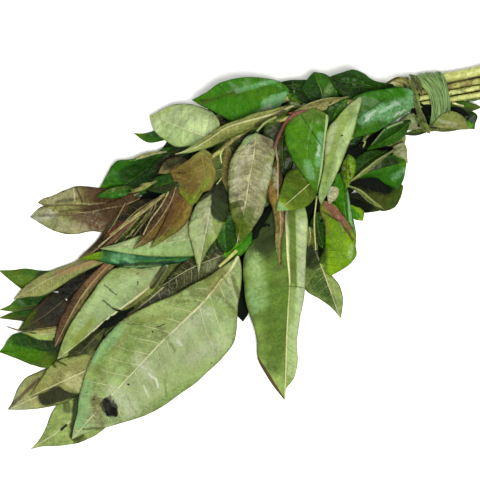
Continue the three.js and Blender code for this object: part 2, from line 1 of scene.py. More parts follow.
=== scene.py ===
"""The looks of a tied bunch of leafy shoots that lies on its side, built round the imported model.

Work is done in layout millimetres: X = 0 and Y = 0 under the tie, cut stems towards +X, shoot tips towards
-X, the surface at Z = 0. to_frame() turns them into the frame's metres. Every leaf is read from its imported
solid, as the surface half way through its thickness, and most get an outline with more points. It is remade
as a thin blade with a midrib, veins and a soft margin. Leaves, twigs and scraps that have no solid of their
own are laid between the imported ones.
"""
import math
from types import SimpleNamespace

import bpy
import numpy as np
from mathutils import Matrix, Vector
from mathutils.bvhtree import BVHTree


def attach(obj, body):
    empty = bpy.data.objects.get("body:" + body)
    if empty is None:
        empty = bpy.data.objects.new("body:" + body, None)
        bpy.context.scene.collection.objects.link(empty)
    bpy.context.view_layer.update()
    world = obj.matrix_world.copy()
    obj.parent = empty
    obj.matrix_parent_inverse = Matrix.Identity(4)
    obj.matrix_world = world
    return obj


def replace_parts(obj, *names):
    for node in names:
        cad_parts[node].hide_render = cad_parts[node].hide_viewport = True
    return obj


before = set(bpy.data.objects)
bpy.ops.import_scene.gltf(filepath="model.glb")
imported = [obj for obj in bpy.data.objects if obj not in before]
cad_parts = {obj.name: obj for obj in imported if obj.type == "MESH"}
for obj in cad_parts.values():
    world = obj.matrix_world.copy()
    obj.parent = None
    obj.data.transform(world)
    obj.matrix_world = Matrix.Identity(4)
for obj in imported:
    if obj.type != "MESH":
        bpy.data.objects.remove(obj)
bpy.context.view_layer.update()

# ---- Sizes, in millimetres ----
MM = 0.001
WELD = 1e-6  # metres
LAYOUT_CORNER = np.array([-289.0, -233.0, 0.0])  # the lowest corner of the bunch in the layout
LOW_CORNER = np.min([v.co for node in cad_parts.values() for v in node.data.vertices], axis=0)
SHIFT = LOW_CORNER / MM - LAYOUT_CORNER
SIDES = 8  # corners in a ring of a packed leaf or stem
BLADE_HALF = 0.17  # half the thickness of a blade
STALK_HALF = 0.8  # half the height of a leaf stalk
STALK_END = 0.6  # where a packed leaf's first ring stands
TIP_GAP = 0.25  # between a blade's last row and its packed leaf's tip
ROW_STEP, COLUMN_STEP = 1.5, 1.6  # between the rows and the columns of a fine blade, at their widest
COLUMN_CROWDING = 1.35  # above 1, columns stand closer together at the midrib
VEIN_LEAN = (0.28, 0.25)  # how far the side veins run forwards, in step with and faster than their length
VEIN_STEP, LONG_LEAF = 10, 165  # between two side veins of a leaf this long
STEM_STEP = 1.4  # between the rings of a stem or twig
KNOT_STEP, KNOT_HALF = 24, 2.2  # between the thicker places of a stem, and half their length
BARK_RELIEF = 0.05  # how uneven a stem is, as a share of its radius
CUT_BULGE = 0.2  # how far a cut end stands out in its middle, as a share of its radius
WAVES = ((1.0, 0.31), (0.5, 0.17))  # of a margin: height, and length as a share of the leaf's
SWELLS = ((0.32, 0.19), (0.16, 0.11))  # of a whole blade, in the same way
RIPPLES = (0.13, 0.21, 0.34)  # lengths of the margins' ripples, seen from above
RIPPLE_HEIGHT = 0.012  # as a share of the half width
FULL_TURN = 6.3  # a random turn is drawn between 0 and this


def to_frame(points):
    return (np.asarray(points, float) + SHIFT) * MM


# ---- Curves and directions ----
def hermite(at, values, slopes, where):
    k = np.clip(np.searchsorted(at, where, side="right") - 1, 0, len(at) - 2)
    step = at[k + 1] - at[k]
    t = (where - at[k]) / step
    shape = (-1,) + (1,) * (values.ndim - 1)
    t, step = t.reshape(shape), step.reshape(shape)
    a, b = values[k], values[k + 1]
    curve = (2 * t**3 - 3 * t**2 + 1) * a + (3 * t**2 - 2 * t**3) * b
    return curve + step * ((t**3 - 2 * t**2 + t) * slopes[k] + (t**3 - t**2) * slopes[k + 1])


def flowing(at, values, where):
    """A smooth curve through the values."""
    return hermite(at, values, np.gradient(values, at, axis=0), where)


def steady(at, values, where):
    """A smooth curve through the values that never passes beyond two neighbours."""
    secant = np.diff(values) / np.diff(at)
    slopes = np.zeros(len(values))
    inner = secant[:-1] * secant[1:] > 0
    slopes[1:-1][inner] = 2 * secant[:-1][inner] * secant[1:][inner] / (secant[:-1] + secant[1:])[inner]
    slopes[0], slopes[-1] = secant[0], secant[-1]
    return hermite(at, values, slopes, where)


def lengths(points):
    """The distance along a line of points to each of them."""
    return np.concatenate([[0.0], np.cumsum(np.linalg.norm(np.diff(points, axis=0), axis=1))])


def evenly(points, count):
    """A number of points at even steps on the smooth curve through the given ones."""
    at = lengths(points)
    return flowing(at, points, np.linspace(0, at[-1], count))


def read_off(where, at, columns):
    """What each column is at some distances, when its own values stand at the distances at."""
    return np.stack([np.interp(where, at, column) for column in columns.T], 1)


def ramp(value, low, high):
    t = np.clip((value - low) / (high - low), 0, 1)
    return t * t * (3 - 2 * t)


def unit(vectors):
    return vectors / np.linalg.norm(vectors, axis=1, keepdims=True)


def leftwards(heading):
    """What is to the left of each heading, seen from above."""
    return np.stack([-heading[:, 1], heading[:, 0]], 1)


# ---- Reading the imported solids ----
def solid(node):
    """The corners of a node, each once, in layout millimetres, what each is joined to, and the triangles."""
    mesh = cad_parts[node].data
    corners = np.array([v.co for v in mesh.vertices], float)
    keys = np.round(corners / WELD)
    _, first, index = np.unique(keys, axis=0, return_index=True, return_inverse=True)
    index = index.reshape(-1)
    joined = [set() for _ in first]
    for edge in mesh.edges:
        a, b = index[edge.vertices[0]], index[edge.vertices[1]]
        joined[a].add(b)
        joined[b].add(a)
    triangles = [[int(index[v]) for v in face.vertices] for face in mesh.polygons]
    return corners[first] / MM - SHIFT, joined, triangles


def matched(previous, walk, joined):
    """The ring turned so that each corner is joined to the same corner of the ring before it."""
    for direction in (1, -1):
        for start in range(SIDES):
            turned = [walk[(start + direction * i) % SIDES] for i in range(SIDES)]
            if all(b in joined[a] for a, b in zip(previous, turned)):
                return turned
    raise ValueError("two rings of a packed piece don't match")


def rings_of(node):
    """One end point of a leaf or stem, its rings in order and its other end point."""
    points, joined, _ = solid(node)
    ends = [i for i, others in enumerate(joined) if len(others) == SIDES]
    level, edge_of_search = {ends[0]: 0}, [ends[0]]
    while edge_of_search:
        found = []
        for i in edge_of_search:
            for j in sorted(joined[i]):
                if j not in level:
                    level[j] = level[i] + 1
                    found.append(j)
        edge_of_search = found
    ordered = []
    for number in range(1, level[ends[-1]]):
        walk = [min(i for i in level if level[i] == number)]
        while len(walk) < SIDES:
            walk.append(next(j for j in sorted(joined[walk[-1]]) if level[j] == number and j not in walk))
        ordered.append(matched(ordered[-1], walk, joined) if ordered else walk)
    return points[ends[0]], points[np.array(ordered)], points[ends[-1]]


def leaf_rows(node):
    """The middle of a packed leaf's thickness from stalk to tip, five points to a row from left to right."""
    start, rings, end = rings_of(node)
    if np.linalg.norm(rings[0].mean(0) - start) > np.linalg.norm(rings[-1].mean(0) - end):
        start, rings, end = end, rings[::-1], start
    chords = np.linalg.norm(rings[:, :4] - rings[:, 4:], axis=2)
    widest, margin = np.unravel_index(chords.argmax(), chords.shape)
    rings = np.roll(rings, -margin, axis=1)
    if rings[:, 1:4, 2].mean() < rings[:, 5:8, 2].mean():
        rings = rings[:, [0, 7, 6, 5, 4, 3, 2, 1]]
    after, before = min(widest + 1, len(rings) - 1), max(widest - 1, 0)
    heading = rings[after].mean(0) - rings[before].mean(0)
    across = rings[widest, 0] - rings[widest, 4]
    if heading[0] * across[1] - heading[1] * across[0] < 0:
        rings = rings[:, [4, 3, 2, 1, 0, 7, 6, 5]]
    halves = [(rings[:, i] + rings[:, SIDES - i]) / 2 for i in (1, 2, 3)]
    rows = np.stack([rings[:, 0], *halves, rings[:, 4]], axis=1)
    return np.concatenate([np.repeat(start[None, None], 5, 1), rows, np.repeat(end[None, None], 5, 1)])


# ---- Fine meshes ----
def add_mesh(name, points, faces, materials, material_of, flat, attributes):
    """A mesh object that rides on the bunch. attributes are vectors at the points, by name."""
    mesh = bpy.data.meshes.new(name)
    mesh.from_pydata(to_frame(points).tolist(), [], faces)
    for material in materials:
        mesh.materials.append(material)
    mesh.polygons.foreach_set("material_index", np.asarray(material_of, np.int32))
    mesh.polygons.foreach_set("use_smooth", ~np.asarray(flat, bool))
    for key, vectors in attributes.items():
        layer = mesh.attributes.new(key, "FLOAT_VECTOR", "POINT")
        layer.data.foreach_set("vector", np.asarray(vectors, np.float32).reshape(-1))
    mesh.update()
    piece = bpy.data.objects.new(name, mesh)
    bpy.context.scene.collection.objects.link(piece)
    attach(piece, "root")
    return piece


def grid_faces(index):
    """Four-cornered faces over a grid of point numbers, turned up if its rows run away and columns right."""
    a, b, c, d = index[:-1, :-1], index[:-1, 1:], index[1:, 1:], index[1:, :-1]
    return np.stack([a, b, c, d], -1).reshape(-1, 4)


def thin_body(name, upper, under, materials, attributes):
    """A closed body between two grids of points, with material 0 on top and 1 underneath."""
    rows, columns, _ = upper.shape
    top = np.arange(rows * columns).reshape(rows, columns)
    low = top + rows * columns
    skins = [grid_faces(top), grid_faces(low)[:, ::-1]]
    edges = [(low[:, 0], top[:, 0]), (top[:, -1], low[:, -1])]
    walls = [grid_faces(np.stack(edge, 1)) for edge in edges]
    ends = [(low[0], top[0]), (top[-1], low[-1])]
    walls += [grid_faces(np.stack(end, 0)) for end in ends]
    faces = np.concatenate([*skins, *walls])
    material_of = np.zeros(len(faces), int)
    material_of[len(skins[0]):len(skins[0]) * 2] = 1
    flat = np.arange(len(faces)) >= len(skins[0]) * 2
    points = np.concatenate([upper.reshape(-1, 3), under.reshape(-1, 3)])
    doubled = {key: np.tile(value.reshape(-1, 3), (2, 1)) for key, value in attributes.items()}
    return add_mesh(name, points, faces.tolist(), materials, material_of, flat, doubled)


def blade_plan(rows, rng):
    """A blade's fine rows and columns, seen from above.

    along and across are distances along the midrib and away from it, width is across at the margin, and u
    runs from -1 at the left margin to 1 at the right one.
    """
    centre = rows[:, 2]
    at = lengths(centre)
    length, stalk = at[-1], at[2]
    count = int(np.clip(length / ROW_STEP, 24, 110))
    even = np.linspace(0, 1, count)
    eased = 0.75 * even + 0.25 * (0.5 - 0.5 * np.cos(np.pi * even))
    along = STALK_END + (length - TIP_GAP - STALK_END) * eased
    middle = flowing(at, centre, along)
    left = leftwards(unit(np.gradient(middle[:, :2], along, axis=0)))

    reach = np.linalg.norm(rows[:, [0, 4], :2] - centre[:, None, :2], axis=2)
    steps = int(np.clip(reach.max() / COLUMN_STEP, 5, 15))
    part = np.linspace(0, 1, steps + 1) ** COLUMN_CROWDING
    u = np.concatenate([-part[::-1], part[1:]])
    share = np.abs(u)[None]
    on_left = (u < 0)[None]
    ripple = sum(
        rng.uniform(0.2, 0.5) * np.sin(2 * np.pi * along / (length * wave) + rng.uniform(0, FULL_TURN))
        for wave in RIPPLES
    )
    widths = [steady(at, reach[:, k], along) for k in (0, 1)]
    widths = [w * (1 + RIPPLE_HEIGHT * ripple * ramp(along, stalk, stalk + 15)) for w in widths]
    width = np.where(on_left, widths[0][:, None], widths[1][:, None])
    return SimpleNamespace(at=at, length=length, stalk=stalk, along=along, middle=middle, left=left, u=u,
                           share=share, on_left=on_left, width=width, across=width * share)


def packed_lift(rows, plan):
    """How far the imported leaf's columns rise above its midrib, carried over to the fine columns."""
    lift = 0
    for flank, near, far in ((plan.on_left, 1, 0), (~plan.on_left, 3, 4)):
        half = flowing(plan.at, rows[:, near, 2] - rows[:, 2, 2], plan.along)[:, None]
        full = flowing(plan.at, rows[:, far, 2] - rows[:, 2, 2], plan.along)[:, None]
        curve = half * 4 * plan.share * (1 - plan.share) + full * plan.share * (2 * plan.share - 1)
        lift = lift + curve * flank
    return lift


def waved(lift, plan, rng, height):
    """The lift with waves that grow towards the margins, and with lower ones all over."""
    height = height * ramp(plan.along, plan.stalk, plan.stalk + 0.2 * plan.length)[:, None]
    for flank in (plan.on_left, ~plan.on_left):
        for size, period in WAVES:
            turn = 2 * np.pi * plan.along / (plan.length * period * rng.uniform(0.85, 1.2))
            swing = np.sin(turn + rng.uniform(0, FULL_TURN))[:, None]
            lift = lift + flank * size * height * plan.share**2.2 * swing * np.minimum(plan.width / 14, 1)
    off_stalk = ramp(plan.along, plan.stalk, plan.stalk + 0.1 * plan.length)[:, None]
    for size, period in SWELLS:
        lean = rng.uniform(-0.6, 0.6)
        slanted = plan.along[:, None] + lean * np.where(plan.on_left, plan.across, -plan.across)
        turn = 2 * np.pi * slanted / (plan.length * period)
        swing = np.sin(turn + rng.uniform(0, FULL_TURN))
        swing = swing * np.sin(plan.across / 6 + rng.uniform(0, FULL_TURN))
        lift = lift + size * swing * off_stalk
    return lift


def creased(lift, plan, rng, count, crumple):
    """The lift with slanting creases, each on one half of the blade."""
    for _ in range(count):
        spot = rng.uniform(0.12, 0.9) * plan.length
        slant, breadth = rng.uniform(-1.4, 0.3), rng.uniform(1.2, 3.0)
        depth = rng.uniform(0.2, 0.6) * rng.choice([-1, 1]) * crumple
        flank = plan.on_left if rng.random() < 0.5 else ~plan.on_left
        away = np.abs(plan.along[:, None] - spot + slant * plan.across) / breadth
        lift = lift + flank * depth * np.exp(-away) * np.sin(np.pi * plan.share**0.7)
    return lift


def blade(name, rows, side_up, materials, seed, shape):
    """A leaf round the middle surface that rows gives. side_up is the face that looks up, upper or under."""
    rng = np.random.default_rng(seed)
    plan = blade_plan(rows, rng)
    length, stalk, along = plan.length, plan.stalk, plan.along
    share, across, width = plan.share, plan.across, plan.width
    lift = waved(packed_lift(rows, plan), plan, rng, shape.get("wave", 0.8))
    lift = creased(lift, plan, rng, shape.get("creases", 4), shape.get("crumple", 1.0))
    lift = lift + shape.get("curl", 0.0) * share**3 * ramp(along, stalk, length * 0.4)[:, None]
    sign = np.where(plan.on_left, 1.0, -1.0)
    points = np.zeros((len(along), len(plan.u), 3))
    points[:, :, :2] = plan.middle[:, None, :2] + plan.left[:, None] * (sign * across)[:, :, None]
    points[:, :, 2] = plan.middle[:, None, 2] + lift

    spacing = VEIN_STEP * math.sqrt(length / LONG_LEAF)
    lean = VEIN_LEAN[0] * across + VEIN_LEAN[1] * across**2 / np.maximum(width, 1)
    phase = (along[:, None] - stalk - lean) / spacing + np.where(plan.on_left, 0.0, 0.45)
    phase = phase + 0.12 * np.sin(across / 5 + rng.uniform(0, FULL_TURN))

    thin = ramp(along, stalk * 0.7, stalk + 0.09 * length)[:, None]  # 0 on the stalk, 1 on the blade
    fine = float(np.clip(length / 110, 0.45, 1))  # how slender the parts of a small leaf are
    rib_width = fine * (0.95 - 0.55 * along / length)[:, None]
    rib = np.exp(-((across / rib_width) ** 2))
    rib_height = fine * (0.85 - 0.6 * along / length)[:, None] * thin
    round_stalk = STALK_HALF * math.sqrt(fine) * np.sqrt(np.maximum(1 - share**2, 0)) + 0.06
    thickness = BLADE_HALF * (1 - 0.35 * share) * thin + round_stalk * (1 - thin)
    raised = 1 if side_up == "under" else -1
    swell = np.minimum(width / 20, 1.2) * np.sin(np.pi * np.clip(share, 0, 1)) ** 0.6 * thin
    quilt = raised * shape.get("quilt", 0.2) * swell * np.cos(2 * np.pi * phase)
    dent = -0.30 * rib * thin
    face_relief, back_relief = (rib * rib_height, dent) if raised > 0 else (dent, rib * rib_height)

    normal = np.cross(np.gradient(points, axis=1), np.gradient(points, axis=0))
    normal /= np.maximum(np.linalg.norm(normal, axis=2, keepdims=True), 1e-9)
    upper = points + normal * (thickness + face_relief + quilt)[:, :, None]
    under = points - normal * (thickness + back_relief - quilt)[:, :, None]
    under[:, :, 2] = np.maximum(under[:, :, 2], 0.05)
    upper[:, :, 2] = np.maximum(upper[:, :, 2], under[:, :, 2] + 0.1)
    attributes = {
        "leaf": np.stack([*np.broadcast_arrays(plan.u, along[:, None] / length, phase)], -1),
        "leaf_mm": np.stack([across, across / fine, width], -1),
    }
    return thin_body(name, upper, under, materials, attributes)


def rod(name, path, radii, materials, seed, sides):
    """A round stem or twig through the path. Its cut ends have the last material."""
    rng = np.random.default_rng(seed)
    at = lengths(path)
    count = max(8, int(at[-1] / STEM_STEP))
    along = np.linspace(0, at[-1], count)
    middle = flowing(at, path, along)
    radius = steady(at, radii, along)
    forward = unit(np.gradient(middle, axis=0))
    side = unit(np.cross([0, 0, 1.0], forward))
    up = np.cross(forward, side)
    angle = np.linspace(0, 2 * np.pi, sides, endpoint=False)
    turn = rng.uniform(0, FULL_TURN, 4)
    swelling = 1 + BARK_RELIEF * (
        0.5 * np.sin(3 * angle[None] + turn[0] + along[:, None] / 40)
        + 0.35 * np.sin(7 * angle[None] + turn[1] - along[:, None] / 60)
        + 0.5 * np.sin(along[:, None] / 6.1 + turn[2]) * np.sin(angle[None] + turn[3])
    )
    for knot in np.arange(rng.uniform(8, 20), at[-1] - 4, KNOT_STEP):
        bulge = np.exp(-(((along - knot) / KNOT_HALF) ** 2))[:, None]
        swelling = swelling + 2.2 * BARK_RELIEF * bulge * (1 + 0.6 * np.cos(angle[None] + knot))
    ring = radius[:, None] * swelling
    points = middle[:, None] + side[:, None] * (ring * np.cos(angle))[:, :, None]
    points = points + up[:, None] * (ring * np.sin(angle))[:, :, None]
    index = np.arange(count * sides).reshape(count, sides)
    faces = grid_faces(np.concatenate([index, index[:, :1]], axis=1)).tolist()
    bark = len(faces)
    points = points.reshape(-1, 3)
    stem = np.stack([*np.broadcast_arrays(angle, along[:, None], ring)], -1).reshape(-1, 3)
    for end, outwards in ((0, -forward[0]), (-1, forward[-1])):
        hub = len(points)
        points = np.vstack([points, middle[end] + outwards * CUT_BULGE * radius[end]])
        stem = np.vstack([stem, [0, along[end], 0]])
        for a, b in zip(index[end].tolist(), np.roll(index[end], -1).tolist()):
            faces.append([b, a, hub] if end == 0 else [a, b, hub])
    material_of = [0] * bark + [len(materials) - 1] * (len(faces) - bark)
    flat = [False] * bark + [True] * (len(faces) - bark)
    return add_mesh(name, points, faces, materials, material_of, flat, {"stem": stem})


# ---- Node trees ----
def colour(rgb):
    """A display colour of 0 to 255 as the linear colour that a shader takes."""
    steps = [value / 255 for value in rgb]
    return (*[s / 12.92 if s <= 0.04045 else ((s + 0.055) / 1.055) ** 2.4 for s in steps], 1.0)


class Tree:
    """A node tree with short ways to add to it. Every way returns the new node's output."""

    def __init__(self, tree):
        self.tree = tree

    def add(self, kind, *values, output=0, **settings):
        node = self.tree.nodes.new(kind)
        for key, value in settings.items():
            setattr(node, key, value)
        for socket, value in zip(node.inputs, values):
            self.feed(socket, value)
        return node.outputs[output]

    def feed(self, socket, value):
        if isinstance(value, bpy.types.NodeSocket):
            self.tree.links.new(value, socket)
        elif value is not None:
            socket.default_value = value

    def group(self, node_tree, **values):
        """A node of a node group, with a space in a socket's name written as an underscore."""
        node = self.tree.nodes.new("ShaderNodeGroup")
        node.node_tree = node_tree
        for key, value in values.items():
            self.feed(node.inputs[key.replace("_", " ")], value)
        return node.outputs

    def math(self, operation, *values, clamp=False):
        return self.add("ShaderNodeMath", *values, operation=operation, use_clamp=clamp)

    def sum(self, a, b):
        return self.math("ADD", a, b)

    def times(self, a, b):
        return self.math("MULTIPLY", a, b)

    def less(self, a, b):
        return self.math("SUBTRACT", a, b)

    def line(self, value, slope, start):
        """start, plus slope times the value."""
        return self.math("MULTIPLY_ADD", value, slope, start)

    def vector(self, operation, *values, output=0):
        return self.add("ShaderNodeVectorMath", *values, operation=operation, output=output)

    def scaled(self, vector, factor):
        return self.vector("SCALE", vector, None, None, factor)

    def mix(self, factor, a, b):
        node = self.tree.nodes.new("ShaderNodeMix")
        node.data_type, node.clamp_factor = "RGBA", True
        for socket, value in zip((node.inputs[0], node.inputs[6], node.inputs[7]), (factor, a, b)):
            self.feed(socket, value)
        return node.outputs[2]

    def ramp(self, value, low, high):
        """0 up to low, 1 from high, smooth between."""
        return self.add("ShaderNodeMapRange", value, low, high, interpolation_type="SMOOTHSTEP")

    def noise(self, vector, scale, detail=2.0, roughness=0.5):
        return self.add("ShaderNodeTexNoise", vector, None, scale, detail, roughness)

    def cells(self, vector, scale):
        """How far a place is from the edge of its cell."""
        return self.add("ShaderNodeTexVoronoi", vector, None, scale, feature="DISTANCE_TO_EDGE")

    def attribute(self, name):
        parts = self.tree.nodes.new("ShaderNodeSeparateXYZ")
        node = self.tree.nodes.new("ShaderNodeAttribute")
        node.attribute_name = name
        self.tree.links.new(node.outputs["Vector"], parts.inputs[0])
        return parts.outputs

    def place(self):
        """Where a point is in the frame, in millimetres."""
        node = self.tree.nodes.new("ShaderNodeTexCoord")
        return self.scaled(node.outputs["Object"], 1 / MM)

    def value(self, value, centre, spread):
        """centre, plus spread times how far a value of 0 to 1 is from 0.5."""
        return self.line(value, spread, self.less(centre, spread / 2))

    def bump(self, height):
        """A normal from a height in millimetres."""
        node = self.tree.nodes.new("ShaderNodeBump")
        node.inputs["Strength"].default_value = 1.0
        node.inputs["Distance"].default_value = MM
        self.feed(node.inputs["Height"], height)
        return node.outputs["Normal"]


def new_material(name):
    """A material, its tree and the sockets of its shader."""
    material = bpy.data.materials.new(name)
    material.use_nodes = True
    return material, Tree(material.node_tree), material.node_tree.nodes["Principled BSDF"].inputs


def dress(tree, sockets, tone, roughness, normal):
    """Feed a shader's sockets."""
    for key, value in (("Base Color", tone), ("Roughness", roughness), ("Normal", normal)):
        tree.feed(sockets[key], value)


def group(name, inputs, outputs, build):
    """A node group. inputs are (name, kind, usual value). build(tree, input sockets) gives its outputs."""
    made = bpy.data.node_groups.new(name, "ShaderNodeTree")
    for key, kind, usual in inputs:
        socket = made.interface.new_socket(key, in_out="INPUT", socket_type="NodeSocket" + kind)
        socket.default_value = usual
    for key, kind in outputs:
        made.interface.new_socket(key, in_out="OUTPUT", socket_type="NodeSocket" + kind)
    tree = Tree(made)
    given = made.nodes.new("NodeGroupInput")
    result = made.nodes.new("NodeGroupOutput")
    sockets = {key: given.outputs[i] for i, (key, _, _) in enumerate(inputs)}
    for (key, _), value in zip(outputs, build(tree, sockets)):
        tree.feed(result.inputs[key], value)
    return made


def zoned(tree, given, u, v, share, broad, medium):
    """The tones of a face's halves, margin, tip, base and blotches."""
    half = tree.ramp(tree.line(medium, 0.06, u), 0.0, 0.06)
    flesh = tree.mix(half, given["Left"], given["Right"])
    wander = tree.value(broad, 0.0, 0.3)
    edge = tree.times(tree.ramp(tree.sum(share, tree.value(medium, 0.0, 0.5)), 0.45, 1.0), given["Edges"])
    flesh = tree.mix(edge, flesh, given["Edge"])
    to_tip = tree.ramp(tree.sum(v, wander), given["Tip from"], tree.sum(given["Tip from"], 0.24))
    flesh = tree.mix(to_tip, flesh, given["Tip"])
    to_base = tree.ramp(tree.sum(v, wander), given["Base to"], tree.sum(given["Base to"], -0.2))
    flesh = tree.mix(to_base, flesh, given["Base"])
    blotch = tree.times(tree.ramp(medium, 0.5, 0.68), given["Mottle"])
    return tree.mix(blotch, flesh, given["Blotch"])


def shaded(tree, given, flesh, place, u, phase, broad, medium, small):
    """The tones, varied at random in clouds and patches and with painted light and shade on folds, and the
    folds.
    """
    shading = tree.sum(tree.value(broad, 1.0, 0.7), tree.value(small, 0.0, 0.45))
    shading = tree.sum(shading, tree.value(tree.noise(place, 0.33, 3.0, 0.6), 0.0, 0.5))
    patch = tree.ramp(tree.noise(place, 0.085, 4.0, 0.65), 0.4, 0.58)
    shading = tree.sum(shading, tree.value(patch, 0.0, 0.26))
    in_step, sideways = tree.times(phase, 1.5), tree.times(u, 1.2)
    across_folds = tree.add("ShaderNodeCombineXYZ", in_step, sideways, given["Seed"])
    folds = tree.noise(across_folds, 1.0, 4.0, 0.6)
    # Painted light and shade on the folds: lighter on one side, darker on the other and darkest along the
    # fold line.
    painted_crease_shade = tree.ramp(tree.math("ABSOLUTE", tree.less(folds, 0.5)), 0.022, 0.0)
    painted_fold_light_and_shade = tree.line(painted_crease_shade, -0.22, tree.value(tree.ramp(folds, 0.4, 0.6), 0.0, 0.34))
    shading = tree.line(painted_fold_light_and_shade, given["Folds"], shading)
    hue = tree.value(medium, 0.5, 0.035)
    saturation = tree.value(small, 1.0, 0.3)
    return tree.add("ShaderNodeHueSaturation", hue, saturation, shading, 1.0, flesh), folds


def vein_lines(tree, place, share, phase, medium):
    """1 on the side veins, less on the nets of fine veins between them."""
    vein_gap = tree.math("PINGPONG", phase, 0.5)
    vein_width = tree.line(share, -0.035, 0.06)
    vein = tree.less(1.0, tree.ramp(vein_gap, tree.times(vein_width, 0.3), vein_width))
    vein = tree.times(vein, tree.ramp(share, 0.93, 0.7))
    vein = tree.times(vein, tree.ramp(medium, 0.2, 0.5))
    net = tree.less(1.0, tree.ramp(tree.cells(place, 0.42), 0.0, 0.12))
    fine_net = tree.less(1.0, tree.ramp(tree.cells(place, 1.1), 0.0, 0.14))
    lines = tree.math("MAXIMUM", vein, tree.times(net, 0.28))
    return tree.math("MAXIMUM", lines, tree.times(fine_net, 0.16))


def blade_skin(tree, given):
    """The colour, roughness and relief of a leaf's face, from its own coordinates."""
    u, v, phase = tree.attribute("leaf")
    across, from_rib, width = tree.attribute("leaf_mm")
    place = tree.vector("ADD", tree.place(), tree.scaled((31.0, 17.0, 7.0), given["Seed"]))
    broad = tree.noise(place, 0.045, 2.0)
    medium = tree.noise(place, 0.16, 3.0, 0.6)
    small = tree.noise(place, 0.9, 3.0, 0.6)
    share = tree.math("ABSOLUTE", u)
    flesh = zoned(tree, given, u, v, share, broad, medium)
    flesh, folds = shaded(tree, given, flesh, place, u, phase, broad, medium, small)

    lines = vein_lines(tree, place, share, phase, medium)
    flesh = tree.mix(tree.times(lines, given["Veins"]), flesh, given["Vein"])
    rib_width = tree.line(v, -0.75, 1.05)
    rib = tree.ramp(from_rib, rib_width, tree.times(rib_width, 0.45))
    flesh = tree.mix(tree.times(rib, given["Ribs"]), flesh, given["Rib"])
    # A darker margin: partly the edge's own tone, partly painted shade along the leaf's edge.
    margin = tree.less(width, across)
    on_blade = tree.ramp(width, 1.2, 2.4)
    rim = tree.times(tree.ramp(margin, 0.75, 0.25), on_blade)
    flesh = tree.mix(tree.times(rim, given["Rims"]), flesh, given["Rim"])

    rough = tree.sum(given["Rough"], tree.value(medium, 0.0, 0.25))
    rough = tree.sum(rough, tree.value(small, 0.0, 0.2))
    rough = tree.line(rib, 0.08, rough)
    relief = tree.times(lines, given["Vein relief"])
    relief = tree.line(small, 0.16, relief)
    relief = tree.line(folds, tree.times(given["Folds"], 3.0), relief)
    relief = tree.line(tree.noise(place, 0.3, 3.0, 0.55), given["Dents"], relief)
    return flesh, rough, tree.bump(relief)


def mark_shape(tree, given):
    """1 on a line between two places seen from above, 0 away from it."""
    level = (1.0, 1.0, 0.0)
    flat = tree.vector("MULTIPLY", tree.place(), level)
    wobble = tree.add("ShaderNodeTexNoise", flat, None, 0.28, 3.0, output=1)
    wobble = tree.vector("SUBTRACT", wobble, (0.5, 0.5, 0.5))
    wobble = tree.vector("MULTIPLY", tree.scaled(wobble, given["Wobble"]), level)
    here = tree.vector("ADD", flat, wobble)
    line = tree.vector("SUBTRACT", given["To"], given["From"])
    offset = tree.vector("SUBTRACT", here, given["From"])
    reach = tree.math("MAXIMUM", tree.vector("DOT_PRODUCT", line, line, output=1), 0.0001)
    share = tree.math("DIVIDE", tree.vector("DOT_PRODUCT", offset, line, output=1), reach, clamp=True)
    away = tree.vector("SUBTRACT", offset, tree.scaled(line, share))
    distance = tree.vector("LENGTH", away, output=1)
    outer = tree.sum(given["Width"], given["Softness"])
    ragged = tree.ramp(tree.noise(tree.place(), 0.55, 5.0, 0.7), 0.36, 0.6)
    kept = tree.less(1.0, tree.times(given["Patchy"], tree.less(1.0, ragged)))
    return (tree.times(tree.ramp(distance, outer, given["Width"]), kept),)


WHITE = (1.0, 1.0, 1.0, 1.0)
SKIN_TONES = ("Left", "Right", "Tip", "Base", "Blotch", "Vein", "Rib", "Rim", "Edge")
SKIN_NUMBERS = {
    "Edges": 0.4, "Tip from": 0.7, "Base to": 0.2, "Mottle": 0.4, "Veins": 0.4, "Ribs": 0.8, "Rims": 0.3,
    "Rough": 0.5, "Vein relief": 0.1, "Dents": 0.2, "Folds": 0.3, "Seed": 0.0,
}
SKIN = group(
    "leaf skin",
    [(key, "Color", WHITE) for key in SKIN_TONES]
    + [(key, "Float", usual) for key, usual in SKIN_NUMBERS.items()],
    [("Colour", "Color"), ("Roughness", "Float"), ("Normal", "Vector")],
    blade_skin,
)
MARK = group(
    "mark",
    [("From", "Vector", (0, 0, 0)), ("To", "Vector", (0, 0, 0)), ("Width", "Float", 1.0),
     ("Softness", "Float", 0.5), ("Wobble", "Float", 1.0), ("Patchy", "Float", 0.0)],
    [("Mask", "Float")],
    mark_shape,
)

